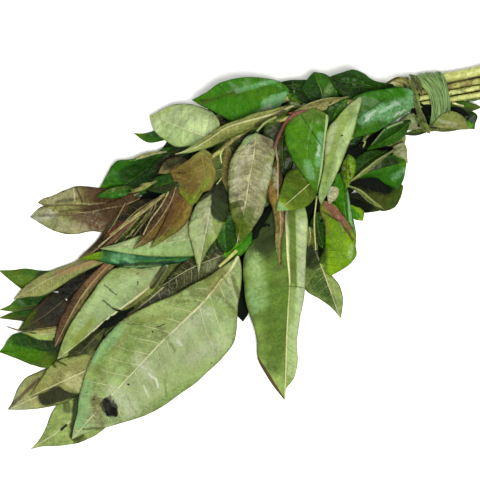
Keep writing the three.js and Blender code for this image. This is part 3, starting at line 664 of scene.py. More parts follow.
# ---- Tones ----
DISPLAY_TONES = {
    "vivid": (56, 124, 0), "bright": (92, 150, 10), "moss": (84, 108, 0), "fern": (40, 92, 4),
    # The last tone on the next line is a painted highlight: the pale bluish shine of glossy leaves, put into
    # their colour.
    "pine": (20, 64, 8), "ink": (10, 22, 8), "teal": (44, 104, 72), "bloom": (132, 182, 132),
    "lime": (120, 156, 8), "chartreuse": (142, 164, 54), "sage": (158, 166, 124), "leek": (140, 162, 88),
    "mist": (168, 190, 132), "mint": (142, 184, 124), "olive": (130, 136, 66), "dusk": (82, 92, 34),
    "khaki": (152, 152, 92), "tan": (182, 178, 142), "straw": (184, 170, 126), "golden": (132, 106, 36),
    "umber": (84, 62, 40), "plum": (108, 74, 56), "blush": (160, 124, 88), "soot": (44, 45, 37),
    "slate": (66, 68, 56), "cream": (222, 222, 168), "butter": (208, 214, 134), "rust": (150, 84, 62),
    "black": (16, 18, 14), "brown": (98, 72, 34), "white": (226, 230, 220), "grape": (78, 52, 48),
    "wood": (176, 180, 98), "wood_dark": (112, 124, 56), "pith": (214, 214, 168), "strap": (160, 192, 114),
    "strap_dark": (72, 100, 46), "grass": (100, 130, 46), "meadow": (70, 98, 28), "drab": (124, 112, 52),
    "shade": (34, 42, 20), "linen": (196, 198, 172), "rose": (140, 96, 76), "frost": (184, 202, 148),
    "apple": (70, 124, 0), "emerald": (38, 104, 0), "forest": (14, 40, 6), "celadon": (146, 174, 112),
    "sand": (150, 138, 86), "ochre": (138, 124, 58), "clay": (104, 84, 58), "moor": (60, 64, 34),
    "celery": (140, 161, 112), "reed": (132, 152, 90), "bran": (156, 154, 118), "hay": (138, 140, 80),
    "citron": (96, 120, 10),
}
TONE_LEVEL = 0.67  # the lights are that much stronger, which keeps the floor white in soft shadow
TONES = {
    name: (*(TONE_LEVEL * part for part in colour(rgb)[:3]), 1.0) for name, rgb in DISPLAY_TONES.items()
}

# What each face of a leaf is like: its roughness, coat, veins, midrib and so on.
FACES = {
    "upper": {"Rough": 0.30, "coat": 0.06, "Vein": "lime", "Rib": "bright", "Rim": "pine", "Blotch": "fern",
              "Edge": "fern", "Edges": 0.3, "Mottle": 0.3, "Veins": 0.35, "Ribs": 0.5, "Rims": 0.35,
              "Vein_relief": -0.3, "Dents": 1.3, "Folds": 0.35},
    "under": {"Rough": 0.48, "coat": 0.0, "Vein": "cream", "Rib": "pith", "Rim": "dusk", "Blotch": "olive",
              "Edge": "leek", "Edges": 0.45, "Mottle": 0.35, "Veins": 0.55, "Ribs": 0.9, "Rims": 0.4,
              "Vein_relief": 0.34, "Dents": 1.5, "Folds": 0.5},
    "young": {"Rough": 0.46, "coat": 0.0, "Vein": "straw", "Rib": "straw", "Rim": "umber", "Blotch": "umber",
              "Edge": "brown", "Edges": 0.3, "Mottle": 0.5, "Veins": 0.4, "Ribs": 0.9, "Rims": 0.4,
              "Vein_relief": 0.36, "Dents": 2.0, "Folds": 0.8},
    # A buried face is near black and matte all over: painted shade deep in the pile.
    "buried": {"Rough": 0.8, "coat": 0.0, "Vein": "ink", "Rib": "ink", "Rim": "ink", "Blotch": "black",
               "Edge": "black", "Edges": 0.4, "Mottle": 0.5, "Veins": 0.1, "Ribs": 0.3, "Rims": 0.0,
               "Vein_relief": -0.1, "Dents": 0.5, "Folds": 0.3},
}
SHAPES = ("wave", "curl", "quilt", "creases", "crumple")  # changes that blade() reads, not the material
LEAF_SHINE, COAT_ROUGHNESS = 0.12, 0.16
SHADOWS = ("shade", "ink", "moor", "forest")  # tones of marks that are soft shadows, never broken up
SOFT_PATCH = 2.0  # another mark with an edge this soft is broken up into patches
PATCHINESS = 0.75


def leaf_material(name, face, tones, marks, seed, changes):
    """tones are those of the left half, the right half, the tip and the base."""
    material, tree, sockets = new_material(name)
    settings = {**FACES[face], **changes}
    coat = settings.pop("coat")
    values = {key: value for key, value in settings.items() if key not in SHAPES}
    values.update(zip(("Left", "Right", "Tip", "Base"), tones))
    values = {key: TONES[value] if isinstance(value, str) else value for key, value in values.items()}
    flesh, roughness, normal = tree.group(SKIN, Seed=seed, **values)
    for tone, start, end, width, softness, wobble, strength in marks:
        start, end = ((x + SHIFT[0], y + SHIFT[1], 0) for x, y in (start, end))
        patchy = PATCHINESS if softness >= SOFT_PATCH and tone not in SHADOWS else 0.0
        sizes = {"Width": width, "Softness": softness, "Wobble": wobble, "Patchy": patchy}
        mask = tree.group(MARK, From=start, To=end, **sizes)[0]
        flesh = tree.mix(tree.times(mask, strength), flesh, TONES[tone])
    dress(tree, sockets, flesh, roughness, normal)
    sockets["Specular IOR Level"].default_value = LEAF_SHINE
    sockets["Coat Weight"].default_value = coat
    sockets["Coat Roughness"].default_value = COAT_ROUGHNESS
    return material


def mark(tone, start, end, width, softness, wobble=0.8, strength=1.0):
    """A crack, spot, stain, patch, painted shadow or painted highlight from start to end, or at start if end
    is None.

    width is half the width of its full tone, softness the breadth of its edge, and wobble how ragged it is.
    """
    return tone, start, end or start, width, softness, wobble, strength


def look(face, tones, marks=(), **changes):
    """A leaf's look: the face that turns up, and the tones of its left half, right half, tip and base.

    Left and right are those of someone who walks from stalk to tip. marks are what mark() takes, in the
    layout, and changes take the place of values in FACES or of what blade() would use.
    """
    marks = [mark(*values) for values in marks]
    return {"face": face, "tones": tones.split(), "marks": marks, "changes": changes}


# ---- The leaves, from the surface upwards ----
LEAVES = {
    # The first seven leaves lie lowest; their near black and dark green tones are painted shade under the
    # pile.
    "leaf_floor_big": look("buried", "ink ink pine ink"),
    "leaf_floor_gap": look("buried", "ink ink ink ink"),
    "leaf_floor_back": look("upper", "pine pine ink dusk"),
    "leaf_floor_centre": look("buried", "ink ink pine ink"),
    "leaf_floor_right": look("upper", "ink pine dusk ink"),
    "leaf_behind_tie": look("upper", "ink pine fern ink", [
        ("bright", (19.5, -14.5), (26, -17), 0.8, 1.6),
    ]),
    "leaf_shadow_left": look("buried", "ink ink ink ink"),
    "leaf_bright_left": look("upper", "moss pine apple ink", [
        ("apple", (-280, -167), (-264, -170), 2.5, 3),
        ("shade", (-256, -160), (-246, -174), 3, 3, 3, 0.7),
    ], Ribs=0.2),
    "leaf_two_tips_high": look("upper", "moor pine grass ink"),
    "leaf_lime_left": look("upper", "moss meadow moss shade", [
        ("grass", (-289, -115), (-268, -121), 2, 3, 2, 0.7),
        ("shade", (-266, -124), (-260, -116), 1.5, 2.5, 2, 0.7),
    ]),
    "leaf_olive_corner": look("under", "leek leek leek dusk", [
        # The next two marks are painted shadows.
        ("shade", (-234, -196), (-237, -223), 3.6, 2.2, 2, 0.9),
        ("moor", (-246, -192), (-243, -206), 1.6, 1.9, 2, 0.6),
        ("dusk", (-236, -225), (-231, -231), 2.5, 3, 2),
        ("soot", (-247, -219.5), (-243.5, -216.5), 0.5, 0.7, 1.5),
    ]),
    "leaf_grey_corner": look("under", "khaki khaki sage ink", [
        ("shade", (-257, -198), (-238, -193), 4.5, 2.2, 2, 0.92),
        ("grape", (-262, -186), (-282, -205), 0.6, 1.2, 1.5, 0.7),
    ], Rims=0.7),
    "leaf_mid_olive": look("under", "leek meadow leek shade", [
        ("shade", (-84, -84), (-80, -108), 3.5, 3, 2, 0.8),
        ("fern", (-78, -122), (-68, -134), 2.0, 3, 2, 0.5),
    ], Rims=0.9, Rim="dusk"),
    "leaf_dark_tip": look("upper", "fern pine moss pine"),
    "leaf_black_left": look("young", "soot soot moor black", [
        ("moss", (-268, -141), (-278, -153), 2.0, 5, 3, 0.8),
        ("black", (-226, -116), (-240, -130), 5, 4, 3, 0.8),
        ("white", (-253.5, -127.2), (-249.5, -128), 0.25, 0.5, 2),
        ("white", (-243.5, -133), None, 0.3, 0.4, 1),
    ], Veins=0.1, Ribs=0.2),
    "leaf_dark_back_left": look("upper", "pine emerald apple ink", [
        ("forest", (-186, -42), (-204, -50), 3, 4, 3, 0.7),
        ("apple", (-214, -58), (-206, -64), 1.5, 3, 3, 0.6),
    ]),
    "leaf_olive_left": look("under", "hay hay olive olive", [
        ("dusk", (-253, -175.5), (-251, -177.5), 0.6, 0.9, 2),
        ("dusk", (-249, -174.2), (-243.5, -176.5), 0.3, 0.7, 2),
        ("soot", (-262, -168), (-259.5, -172.5), 0.9, 1.4, 2),
        ("cream", (-240, -186), (-231, -192), 3, 4, 1, 0.5),
    ]),
    "leaf_dark_fold": look("under", "slate dusk olive black", [
        ("khaki", (-196, -142), (-207, -146), 1.5, 4, 2),
    ]),
    "leaf_tan_crease": look("under", "moor moor shade leek", [
        ("sage", (-134, -104), (-148, -111), 2.5, 3, 3, 0.8),
    ], Edges=0.1, Folds=1.2, crumple=2.0, creases=8),
    "leaf_deep_green": look("upper", "forest pine forest fern", [
        ("leek", (-93, 11), (-92, 4), 0.25, 0.4, 1),
    ]),
    "leaf_up_green": look("upper", "pine fern pine leek", [
        ("celadon", (-72, 0), (-68, 8), 1.0, 2.5, 2, 0.6),
        ("apple", (-74, 10), (-76, 16), 1.0, 2.5, 2, 0.6),
    ], Ribs=0.8, Rib="leek"),
    "leaf_deep_green_right": look("upper", "forest forest pine forest", [
        ("fern", (-50, 17), (-36, 8), 2, 6, 2, 0.7),
    ]),
    # Dark all over, with a black patch: painted shade inside the curl of this leaf.
    "leaf_hollow_right": look("upper", "dusk ink ink moss", [
        ("black", (-30, -59), (-50, -56), 3.0, 4, 2),
        ("meadow", (-23, -62), (-28, -70), 1.5, 4, 2, 0.8),
    ], Ribs=0.1, Rough=0.75, coat=0.0, Dents=0.4, Edge="ink", Blotch="ink", Vein="dusk"),
    "leaf_vivid_right": look("upper", "emerald forest ink apple", [
        # The next mark is a painted highlight.
        ("bloom", (-18, -47), (-26, -52), 0.6, 3, 2, 0.6),
        ("leek", (-20, -39), (-26, -36), 0.4, 0.9, 1, 0.8),
    ]),
    # This leaf's pale bluish tip tone is a painted highlight.
    "leaf_glossy_narrow": look("upper", "fern vivid bloom pine", [
        ("mint", (-56, -62), (-54, -90), 0.5, 1.2, 0.6, 0.8),
    ]),
    "leaf_lime_curl": look("upper", "lime lime lime lime", [
        # The next mark is painted shade along the leaf's shaded left side.
        ("pine", (-73.5, -80), (-73.5, -107), 1.6, 1.2, 1, 0.8),
        ("rose", (-70, -70), (-61, -79), 2.6, 0.7, 1.5, 0.95),
        ("rose", (-61, -79), (-55, -86), 1.0, 0.7, 1.0, 0.9),
        ("umber", (-74, -74), (-62, -81), 0.5, 0.6, 1.5, 0.8),
        ("umber", (-62, -81), (-53, -93), 0.6, 0.6, 1.5, 0.8),
        ("grass", (-64, -88), (-62, -104), 2, 5, 2, 0.6),
        ("drab", (-73, -73), (-70.5, -88), 1.2, 2.5, 2, 0.6),
        ("moor", (-71.5, -100), (-71, -112), 0.6, 1.6, 2, 0.6),
        ("mist", (-54, -98), (-55, -104), 0.5, 2.5, 1, 0.7),
    ], Ribs=0.2),
    "leaf_long_two_tone": look("under", "mist grass leek meadow", [
        ("shade", (-104, -70), (-112, -96), 5, 9, 3, 0.85),
        ("celadon", (-119, -106), (-114, -134), 3.5, 4.5, 4, 0.8),
        ("mist", (-118, -110), (-116, -122), 1.5, 3, 4, 0.6),
        ("meadow", (-103, -128), (-106, -176), 3, 7, 2, 0.6),
        # The next mark is a painted highlight.
        ("bloom", (-121, -128), (-118, -140), 1.0, 3.0, 3, 0.5),
        ("shade", (-126, -110), (-120, -100), 0.8, 2.5, 2, 0.4),
        ("moss", (-93.5, -74), (-92.5, -124), 1.6, 1.2, 1.0, 0.8),
        ("leek", (-93.5, -124), (-94.5, -178), 1.2, 1.6, 1.0, 0.8),
        ("linen", (-86.5, -82), (-87.5, -172), 0.8, 3, 1, 0.5),
        ("frost", (-92.5, -150), (-93.5, -182), 2.2, 2.0, 1, 0.7),
        ("umber", (-116.5, -172), (-99.5, -199), 0.9, 0.5, 1.2, 0.9),
        ("shade", (-97, -123.6), (-86, -125), 0.1, 0.35, 1.2, 0.6),
    ], Ribs=1.0, Rib="cream", Veins=0.1, creases=2, Dents=0.5),
    "leaf_brown_left_high": look("young", "tan umber khaki umber", [
        ("umber", (-205, -62), (-226, -64), 3, 4, 3, 0.9),
        ("plum", (-222, -60), (-238, -62), 1.5, 3, 3, 0.6),
        ("tan", (-240, -62), (-256, -66), 2.5, 4, 3, 0.8),
        ("moor", (-238, -66), (-250, -68), 0.3, 1.5, 3, 0.6),
        ("clay", (-224, -62), (-234, -66), 1.5, 1.9, 4, 0.6),
        ("soot", (-237, -58), (-233, -68), 0.2, 0.7, 1.5, 0.7),
        ("cream", (-239, -58), (-238, -67), 0.2, 0.7, 1.5, 0.5),
        ("umber", (-225, -71), (-250, -72), 0.3, 1.2, 2, 0.6),
    ], quilt=0.5, wave=1.4, Dents=2.0, Folds=1.4, crumple=2.5, creases=12, Tip_from=0.45, Base_to=0.45),
    "leaf_brown_left_low": look("young", "tan umber khaki umber", [
        ("linen", (-256, -76), (-272, -80), 2.5, 1.9, 4, 0.5),
        ("sage", (-266, -78), (-244, -84), 3, 4, 3, 0.8),
        ("umber", (-226, -80), (-206, -76), 5, 5, 2, 0.85),
        ("plum", (-236, -80), (-222, -82), 2, 5, 2, 0.6),
        ("tan", (-246, -84), (-232, -86.5), 1.5, 4, 2, 0.7),
        ("linen", (-252, -76.5), (-264, -79), 0.8, 1.9, 3, 0.6),
        ("moor", (-236, -73), (-248, -74.5), 0.3, 1.4, 3, 0.6),
        ("umber", (-232, -76), (-262, -77), 0.3, 1.0, 2, 0.5),
    ], quilt=0.4, wave=1.2, Dents=1.8, Folds=1.3, crumple=2.2, creases=12, Tip_from=0.45, Base_to=0.5),
    "leaf_olive_strip_left": look("under", "hay hay khaki moor", [
        ("blush", (-212, -103), (-250, -116), 1.0, 1.8, 1, 0.6),
    ], Ribs=0.5),
    "leaf_brown_strip": look("young", "sand umber clay blush", [
        ("sand", (-220, -117), (-206, -105), 1.0, 2.0, 2, 0.5),
        ("moor", (-236, -140), (-246, -158), 0.5, 2, 2, 0.6),
        ("blush", (-212, -105), (-228, -122), 1.8, 2.5, 1, 0.6),
    ]),
    "leaf_slender_plum": look("young", "plum shade blush shade", [
        ("rust", (-206, -83), (-216, -90), 1.2, 2, 1, 0.6),
    ]),
    "leaf_split_pale": look("under", "olive celery leek celery", [
        ("chartreuse", (-238, -162), (-226, -147), 2.0, 1.9, 4, 0.5),
        ("frost", (-228, -140), (-220, -127), 1.2, 1.9, 4, 0.5),
        ("frost", (-206, -124), (-196, -118), 0.8, 1.9, 4, 0.5),
        ("black", (-218, -123), (-210, -130), 0.35, 0.35, 2.0),
        ("black", (-219, -133), (-212, -139), 0.35, 0.35, 2.0),
        ("black", (-212, -139), (-207.5, -140.2), 0.45, 0.4, 2.0),
        ("black", (-196, -115.5), None, 0.55, 0.4, 1),
        ("soot", (-196, -121), (-195.8, -123), 0.3, 0.4, 1),
        ("leek", (-205, -110), (-214, -118), 1.5, 3, 2, 0.8),
        ("mist", (-200, -120), (-222, -140), 3, 6, 3, 0.45),
        ("olive", (-228, -150), (-236, -160), 1.5, 1.9, 4, 0.5),
        ("mist", (-216, -124), (-230, -144), 1.6, 1.9, 4, 0.4),
        ("khaki", (-190, -116), (-200, -114), 1.5, 1.9, 4, 0.4),
        ("shade", (-186.5, -124), (-178.5, -111.5), 1.3, 1.3, 1.5, 0.85),
        ("shade", (-221.5, -153.8), (-240, -169), 1.8, 0.9, 1.2, 0.88),
        ("moor", (-172, -110), (-180, -123), 2.0, 2.2, 2, 0.5),
        ("khaki", (-186, -120), (-194, -127), 0.6, 2.5, 2, 0.6),
    ], Rims=0.5),
    "leaf_teal_roll": look("upper", "teal teal moss pine", [
        # The first, second and fourth marks are painted highlights: bright bluish glints on the roll.
        ("bloom", (-213, -107), (-209, -108.5), 0.3, 1.2, 3, 0.6),
        ("bloom", (-204, -106), (-199, -108.5), 0.5, 1.4, 3, 0.6),
        ("celadon", (-182, -109.5), (-204, -110.6), 0.5, 1.4, 3, 0.6),
        ("bloom", (-200, -104), (-211, -105), 1.2, 2.5, 2, 0.55),
        ("lime", (-222, -103), (-234, -105.5), 1.5, 2.5, 1, 0.9),
        ("ink", (-172, -108), (-215, -110.5), 0.5, 1.2, 2, 0.7),
    ]),
    "leaf_sea_green": look("under", "celadon frost celadon mint", [
        ("golden", (-166, -84), (-178, -90), 2, 5, 3, 0.4),
    ], Veins=0.2, Ribs=0.4, Folds=0.25, Dents=0.8),
    "leaf_big_pale": look("under", "celery reed celery reed", [
        ("sage", (-160, -158), (-190, -190), 9, 9, 6, 0.6),
        ("moor", (-216, -203), (-214, -206), 4.0, 1.8, 4, 0.9),
        ("soot", (-215.5, -200.5), (-213.5, -207), 3.0, 1.4, 4),
        ("black", (-212, -203.5), (-211.5, -208), 1.8, 1.2, 4),
        ("black", (-217, -207.5), (-215, -209), 0.7, 1.0, 4),
        ("black", (-216, -199.5), (-214, -200.5), 1.0, 1.0, 4),
        ("black", (-225, -199), None, 0.5, 0.4, 0.8),
        ("black", (-202, -189), None, 0.55, 0.4, 1.5),
        ("soot", (-198, -174.5), None, 0.25, 0.4, 0.6, 0.8),
        ("black", (-186, -154), None, 0.4, 0.4, 0.6),
        ("black", (-147, -175), None, 0.4, 0.4, 0.6),
        ("black", (-230.5, -194.5), (-224, -190.5), 0.05, 0.25, 2.2),
        ("black", (-203, -148.5), (-193, -150), 0.05, 0.3, 3.0),
        ("black", (-183, -151), (-178, -149), 0.1, 0.35, 1.5),
        ("brown", (-224, -199), (-221.5, -215), 1.8, 3.2, 3.5, 0.65),
        ("brown", (-222, -180), (-219, -184), 0.8, 2.6, 3, 0.45),
        # The next five thin white strokes are painted highlights.
        ("white", (-188.5, -182), (-183.5, -186), 0.05, 1.1, 3.0, 0.5),
        ("white", (-183.5, -186), (-182.5, -191), 0.05, 1.1, 3.0, 0.5),
        ("white", (-196, -176), (-190, -178.5), 0.05, 0.9, 3.0, 0.4),
        ("white", (-192, -190), (-189, -197), 0.05, 1.0, 3.0, 0.4),
        ("white", (-169, -160), (-167, -163), 0.2, 1.6, 3.0, 0.4),
        ("dusk", (-174, -162), (-171, -167), 0.2, 1.6, 4.0, 0.5),
        ("dusk", (-181, -152), (-176, -158), 0.4, 1.9, 4.0, 0.4),
        # The next three pale patches are painted highlights: the leaf's bluish shine.
        ("mist", (-165, -178), (-158, -190), 0.8, 1.9, 4.0, 0.5),
        ("mist", (-206, -180), (-212, -188), 2.2, 1.9, 4.0, 0.4),
        ("mist", (-162, -150), (-154, -162), 0.6, 1.9, 4.0, 0.4),
        ("olive", (-204, -156), (-212, -168), 1.2, 1.9, 4.0, 0.4),
        ("meadow", (-178, -186), (-177, -197), 0.1, 1.2, 3.0, 0.5),
        ("meadow", (-204, -196), (-197, -208), 0.1, 1.2, 3.0, 0.4),
        ("moor", (-140, -113), (-150, -119), 1.0, 2.2, 4, 0.5),
        ("moor", (-141, -117), (-134, -124), 0.1, 1.3, 4, 0.6),
        ("dusk", (-133, -118), (-128, -132), 0.4, 1.7, 4, 0.6),
        ("linen", (-136, -119), (-130, -134), 0.2, 1.5, 4, 0.4),
        ("dusk", (-158, -134), (-170, -134), 0.2, 1.6, 4, 0.5),
        ("mist", (-165, -128), (-158, -136), 0.5, 1.8, 4, 0.5),
        ("olive", (-196, -148), (-178, -144), 0.8, 1.9, 4, 0.5),
        # The next four broad pale patches are painted highlights as well.
        ("linen", (-196, -172), (-188, -182), 1, 6, 5, 0.5),
        ("linen", (-212, -194), (-200, -206), 2, 6, 5, 0.6),
        ("linen", (-170, -158), (-150, -140), 1, 6, 5, 0.4),
        ("linen", (-160, -175), (-140, -160), 2, 7, 5, 0.4),
        ("leek", (-150, -134), (-132, -141), 1.0, 3.0, 2, 0.8),
        # The next mark is a painted highlight.
        ("bloom", (-224, -172), (-208, -152), 1.5, 4.5, 4, 0.65),
        ("grass", (-224, -182), (-214, -164), 1.0, 3.5, 4, 0.6),
        ("grass", (-196, -150), (-204, -172), 1.5, 6.5, 3, 0.5),
        ("grass", (-186, -203), (-160, -188), 1.0, 4, 2, 0.5),
        # The next mark is a painted highlight.
        ("mint", (-235, -214), (-230, -190), 2.5, 4.0, 2, 0.8),
        ("dusk", (-150, -121), (-131, -141), 0.3, 2.2, 2, 0.6),
        ("khaki", (-139, -114), (-146, -126), 2.5, 4, 3, 0.7),
        ("dusk", (-232, -219), (-219, -218.5), 0.3, 1.0, 2, 0.7),
        ("olive", (-140, -116), (-152, -122), 1.0, 3.5, 2, 0.6),
        ("leek", (-176, -186), (-150, -176), 2.5, 6.0, 3, 0.5),
    ], wave=1.0, quilt=0.32, Ribs=1.0, Veins=0.75, Rims=0.4, Dents=1.4, crumple=1.5, creases=12,
        Vein="cream"),
    "leaf_blush_narrow": look("young", "blush ochre sand moor", [
        ("linen", (-105, -48), (-104, -58), 0.5, 2.2, 2, 0.7),
        ("rust", (-108, -56), (-107, -66), 0.5, 2.5, 2, 0.5),
        ("shade", (-101, -42), (-101.5, -62), 0.5, 0.8, 1, 0.8),
        ("dusk", (-100.4, -92), (-100.9, -109), 0.4, 0.8, 1, 0.85),
        ("khaki", (-103.6, -90), (-102.4, -107), 0.8, 0.9, 1, 0.8),
    ], curl=0.8),
    "leaf_olive_fold": look("under", "citron moss chartreuse fern", [
        ("mint", (-104, -70), (-96, -78), 2.0, 2.0, 1, 0.9),
        ("lime", (-84, -72), (-95, -76), 0.8, 2, 1, 0.6),
    ], Rough=0.42, Veins=0.1, Edges=0.1, Edge="fern", Blotch="fern", Rims=0.2, Folds=0.3),
    "leaf_grey_green": look("under", "leek sage leek shade", [
        ("shade", (-139, -58), (-140, -74), 6.5, 2.0, 3, 0.9),
        ("shade", (-149, -60), (-155, -65), 2.5, 1.8, 3, 0.85),
        ("linen", (-149, -74), (-147, -88), 0.4, 2.5, 2, 0.7),
        ("mist", (-157, -78), (-157, -95), 2, 4, 2, 0.6),
    ], Ribs=0.95, Rib="linen", Dents=1.6, crumple=1.5, Base_to=0.3),
    # Its pale bluish base tone, and the pale bluish patches and thin white streaks among its marks, are
    # painted highlights.
    "leaf_glossy_right": look("upper", "fern fern vivid bloom", [
        ("bloom", (-16, -3), (-31, -9), 3.2, 5.0, 6, 0.75),
        ("white", (-24, -3), (-36, -9), 0.1, 1.9, 5, 0.4),
        ("white", (-20, -8), (-26, -12), 0.1, 1.8, 5, 0.4),
        ("emerald", (-26, -16), (-40, -21), 0.8, 2.5, 4, 0.5),
        ("bloom", (-34, -8), (-46, -15), 1.6, 5.0, 6, 0.75),
        ("apple", (-40, -18), (-52, -24), 1.5, 4, 3, 0.6),
        ("white", (-39, -9), (-45, -14), 0.1, 1.9, 5, 0.45),
        ("vivid", (-20, 4), (-40, 3), 1.5, 3, 2, 0.8),
        ("ink", (-52, -14), (-32, 0), 0.12, 0.35, 0.6, 0.7),
    ], Rough=0.3, wave=0.5),
    "leaf_dark_right": look("upper", "fern pine fern ink", [
        ("celadon", (-21, -15.5), (-31, -19.5), 0.3, 0.8, 1, 0.7),
        ("celadon", (-33, -20.5), (-41, -30), 0.2, 0.7, 1, 0.6),
    ]),
    "leaf_glossy_fold": look("upper", "apple apple apple grass", [
        ("grass", (-84, -10), (-90, -14), 2, 4, 3, 0.45),
        ("celadon", (-84, -46), (-80, -50), 1.0, 4, 3, 0.35),
        # The next three marks are painted highlights.
        ("bloom", (-75, -24), (-76.5, -44), 0.9, 1.9, 5, 0.6),
        ("white", (-76, -32), (-77, -38), 0.1, 1.6, 5, 0.4),
        ("bloom", (-84, -42), (-81, -52), 1.5, 1.9, 5, 0.45),
        ("mist", (-70.5, -10), (-72.6, -34), 0.7, 0.5, 0.5, 0.9),
        ("mist", (-72.6, -34), (-76, -60), 0.7, 0.5, 0.5, 0.9),
        ("pine", (-88, -11), (-74, -32), 0.15, 0.4, 0.6, 0.7),
    ], Rough=0.3, wave=0.4, Ribs=0.0),
    "leaf_pale_top_left": look("under", "mist frost frost leek", [
        ("chartreuse", (-186, -10), (-176, -6), 1.5, 3, 2, 0.6),
    ], Ribs=0.9, Rib="cream", Veins=0.2, Folds=0.2),
    "leaf_glossy_top": look("upper", "apple vivid apple vivid", [
        ("dusk", (-152, -2), (-128, 5), 0.8, 1.6, 1.5, 0.7),
        # The next three marks are painted highlights.
        ("bloom", (-130, 5), (-104, 12), 0.6, 1.8, 1.5, 0.5),
        ("bloom", (-99, 0), (-110, -4), 3.6, 1.9, 5, 0.7),
        ("linen", (-108, -5), (-116, -9), 0.4, 2.0, 3, 0.7),
        ("vivid", (-140, -4), (-120, -8), 4, 8, 3, 0.8),
    ], Rough=0.3, wave=0.4, Ribs=0.0),
    "leaf_young_brown": look("young", "brown umber olive umber", [
        ("ochre", (-180, -84), (-190, -93), 1.0, 3, 2, 0.6),
        ("moor", (-180, -70), (-187, -82), 0.6, 2, 2, 0.7),
    ]),
    "leaf_young_golden": look("young", "ochre brown olive brown", [
        ("golden", (-164, -64), (-170, -80), 2.5, 1.9, 4, 0.5),
        ("chartreuse", (-172, -88), (-182, -95), 1.0, 2.5, 2, 0.6),
        ("brown", (-166, -70), (-176, -88), 2.0, 3.5, 2, 0.6),
    ], Ribs=0.9),
    "leaf_olive_tan": look("young", "drab drab lime olive", [
        ("brown", (-166, -50), (-161, -60), 4, 7, 3, 0.6),
        ("olive", (-146, -40), (-149, -56), 1.5, 3, 2, 0.6),
        ("chartreuse", (-149, -54), (-158, -67), 0.6, 2.5, 2, 0.7),
    ], Ribs=0.85, Rib="khaki", Blotch="olive", Edge="drab"),
    "leaf_tan_centre": look("under", "bran tan moss bran", [
        ("umber", (-112, -26), (-106, -32), 0.8, 3.5, 3, 0.6),
        ("mint", (-119, -23), (-124, -28), 1.5, 3, 2, 0.7),
        ("olive", (-118, -44), (-132, -50), 1, 4, 3, 0.5),
        ("olive", (-108, -38), (-114, -52), 0.6, 3, 3, 0.5),
        ("linen", (-109, -44), (-113, -58), 0.8, 2.5, 3, 0.7),
        ("linen", (-128, -42), (-131, -58), 0.8, 3, 3, 0.6),
        ("moss", (-132, -73), (-129, -84), 4.5, 0.8, 2, 0.75),
        ("dusk", (-133, -71), (-127, -69), 1.6, 0.8, 2, 0.7),
        ("umber", (-120, -30), (-112, -36), 0.3, 2.2, 4, 0.5),
        ("linen", (-124, -32), (-121, -42), 0.5, 2.2, 3, 0.6),
        ("moss", (-122, -75), (-126, -88), 3.0, 1.6, 2, 0.6),
    ], Ribs=0.95, Rib="cream", quilt=0.35, Dents=2.2, Folds=1.3, crumple=2.2, creases=14, wave=1.0,
        Tip_from=0.66),
    "leaf_olive_edge": look("under", "olive olive leek dusk", [
        ("brown", (-101, -9), (-108, -15), 1.2, 3, 2, 0.5),
        ("dusk", (-112, -17), (-140, -27), 0.8, 2, 2, 0.6),
        ("moor", (-99, -9.5), (-117, -18), 1.2, 1.3, 1.5, 0.8),
    ], Rims=0.3, Rim="dusk", Rib="cream", Ribs=0.7),
    "leaf_pale_fold": look("under", "mist leek celadon mist", [
        ("black", (-61.6, -25), (-60.4, -24.8), 0.2, 0.3, 1),
        ("linen", (-66, -18), (-71, -34), 0.8, 2.5, 1, 0.5),
        ("grass", (-66, -40), (-73, -62), 0.8, 3, 1.5, 0.6),
    ], Ribs=0.0, Veins=0.15, Dents=0.6, Folds=0.25),
    "tie_tail": look("under", "olive khaki olive dusk", [
        ("leek", (-2, -16), (10, -13), 1.0, 3, 2, 0.5),
        ("khaki", (12, -12), (23, -18.5), 0.6, 3, 2, 0.5),
        ("dusk", (-2, -20), (18, -20.3), 0.4, 1.0, 1, 0.6),
        ("linen", (4, -14), (15, -17), 0.3, 1.7, 3, 0.4),
        ("moor", (-4, -14), (-1, -18), 0.3, 1.4, 3, 0.6),
    ], Ribs=0.0, Veins=0.1),
}
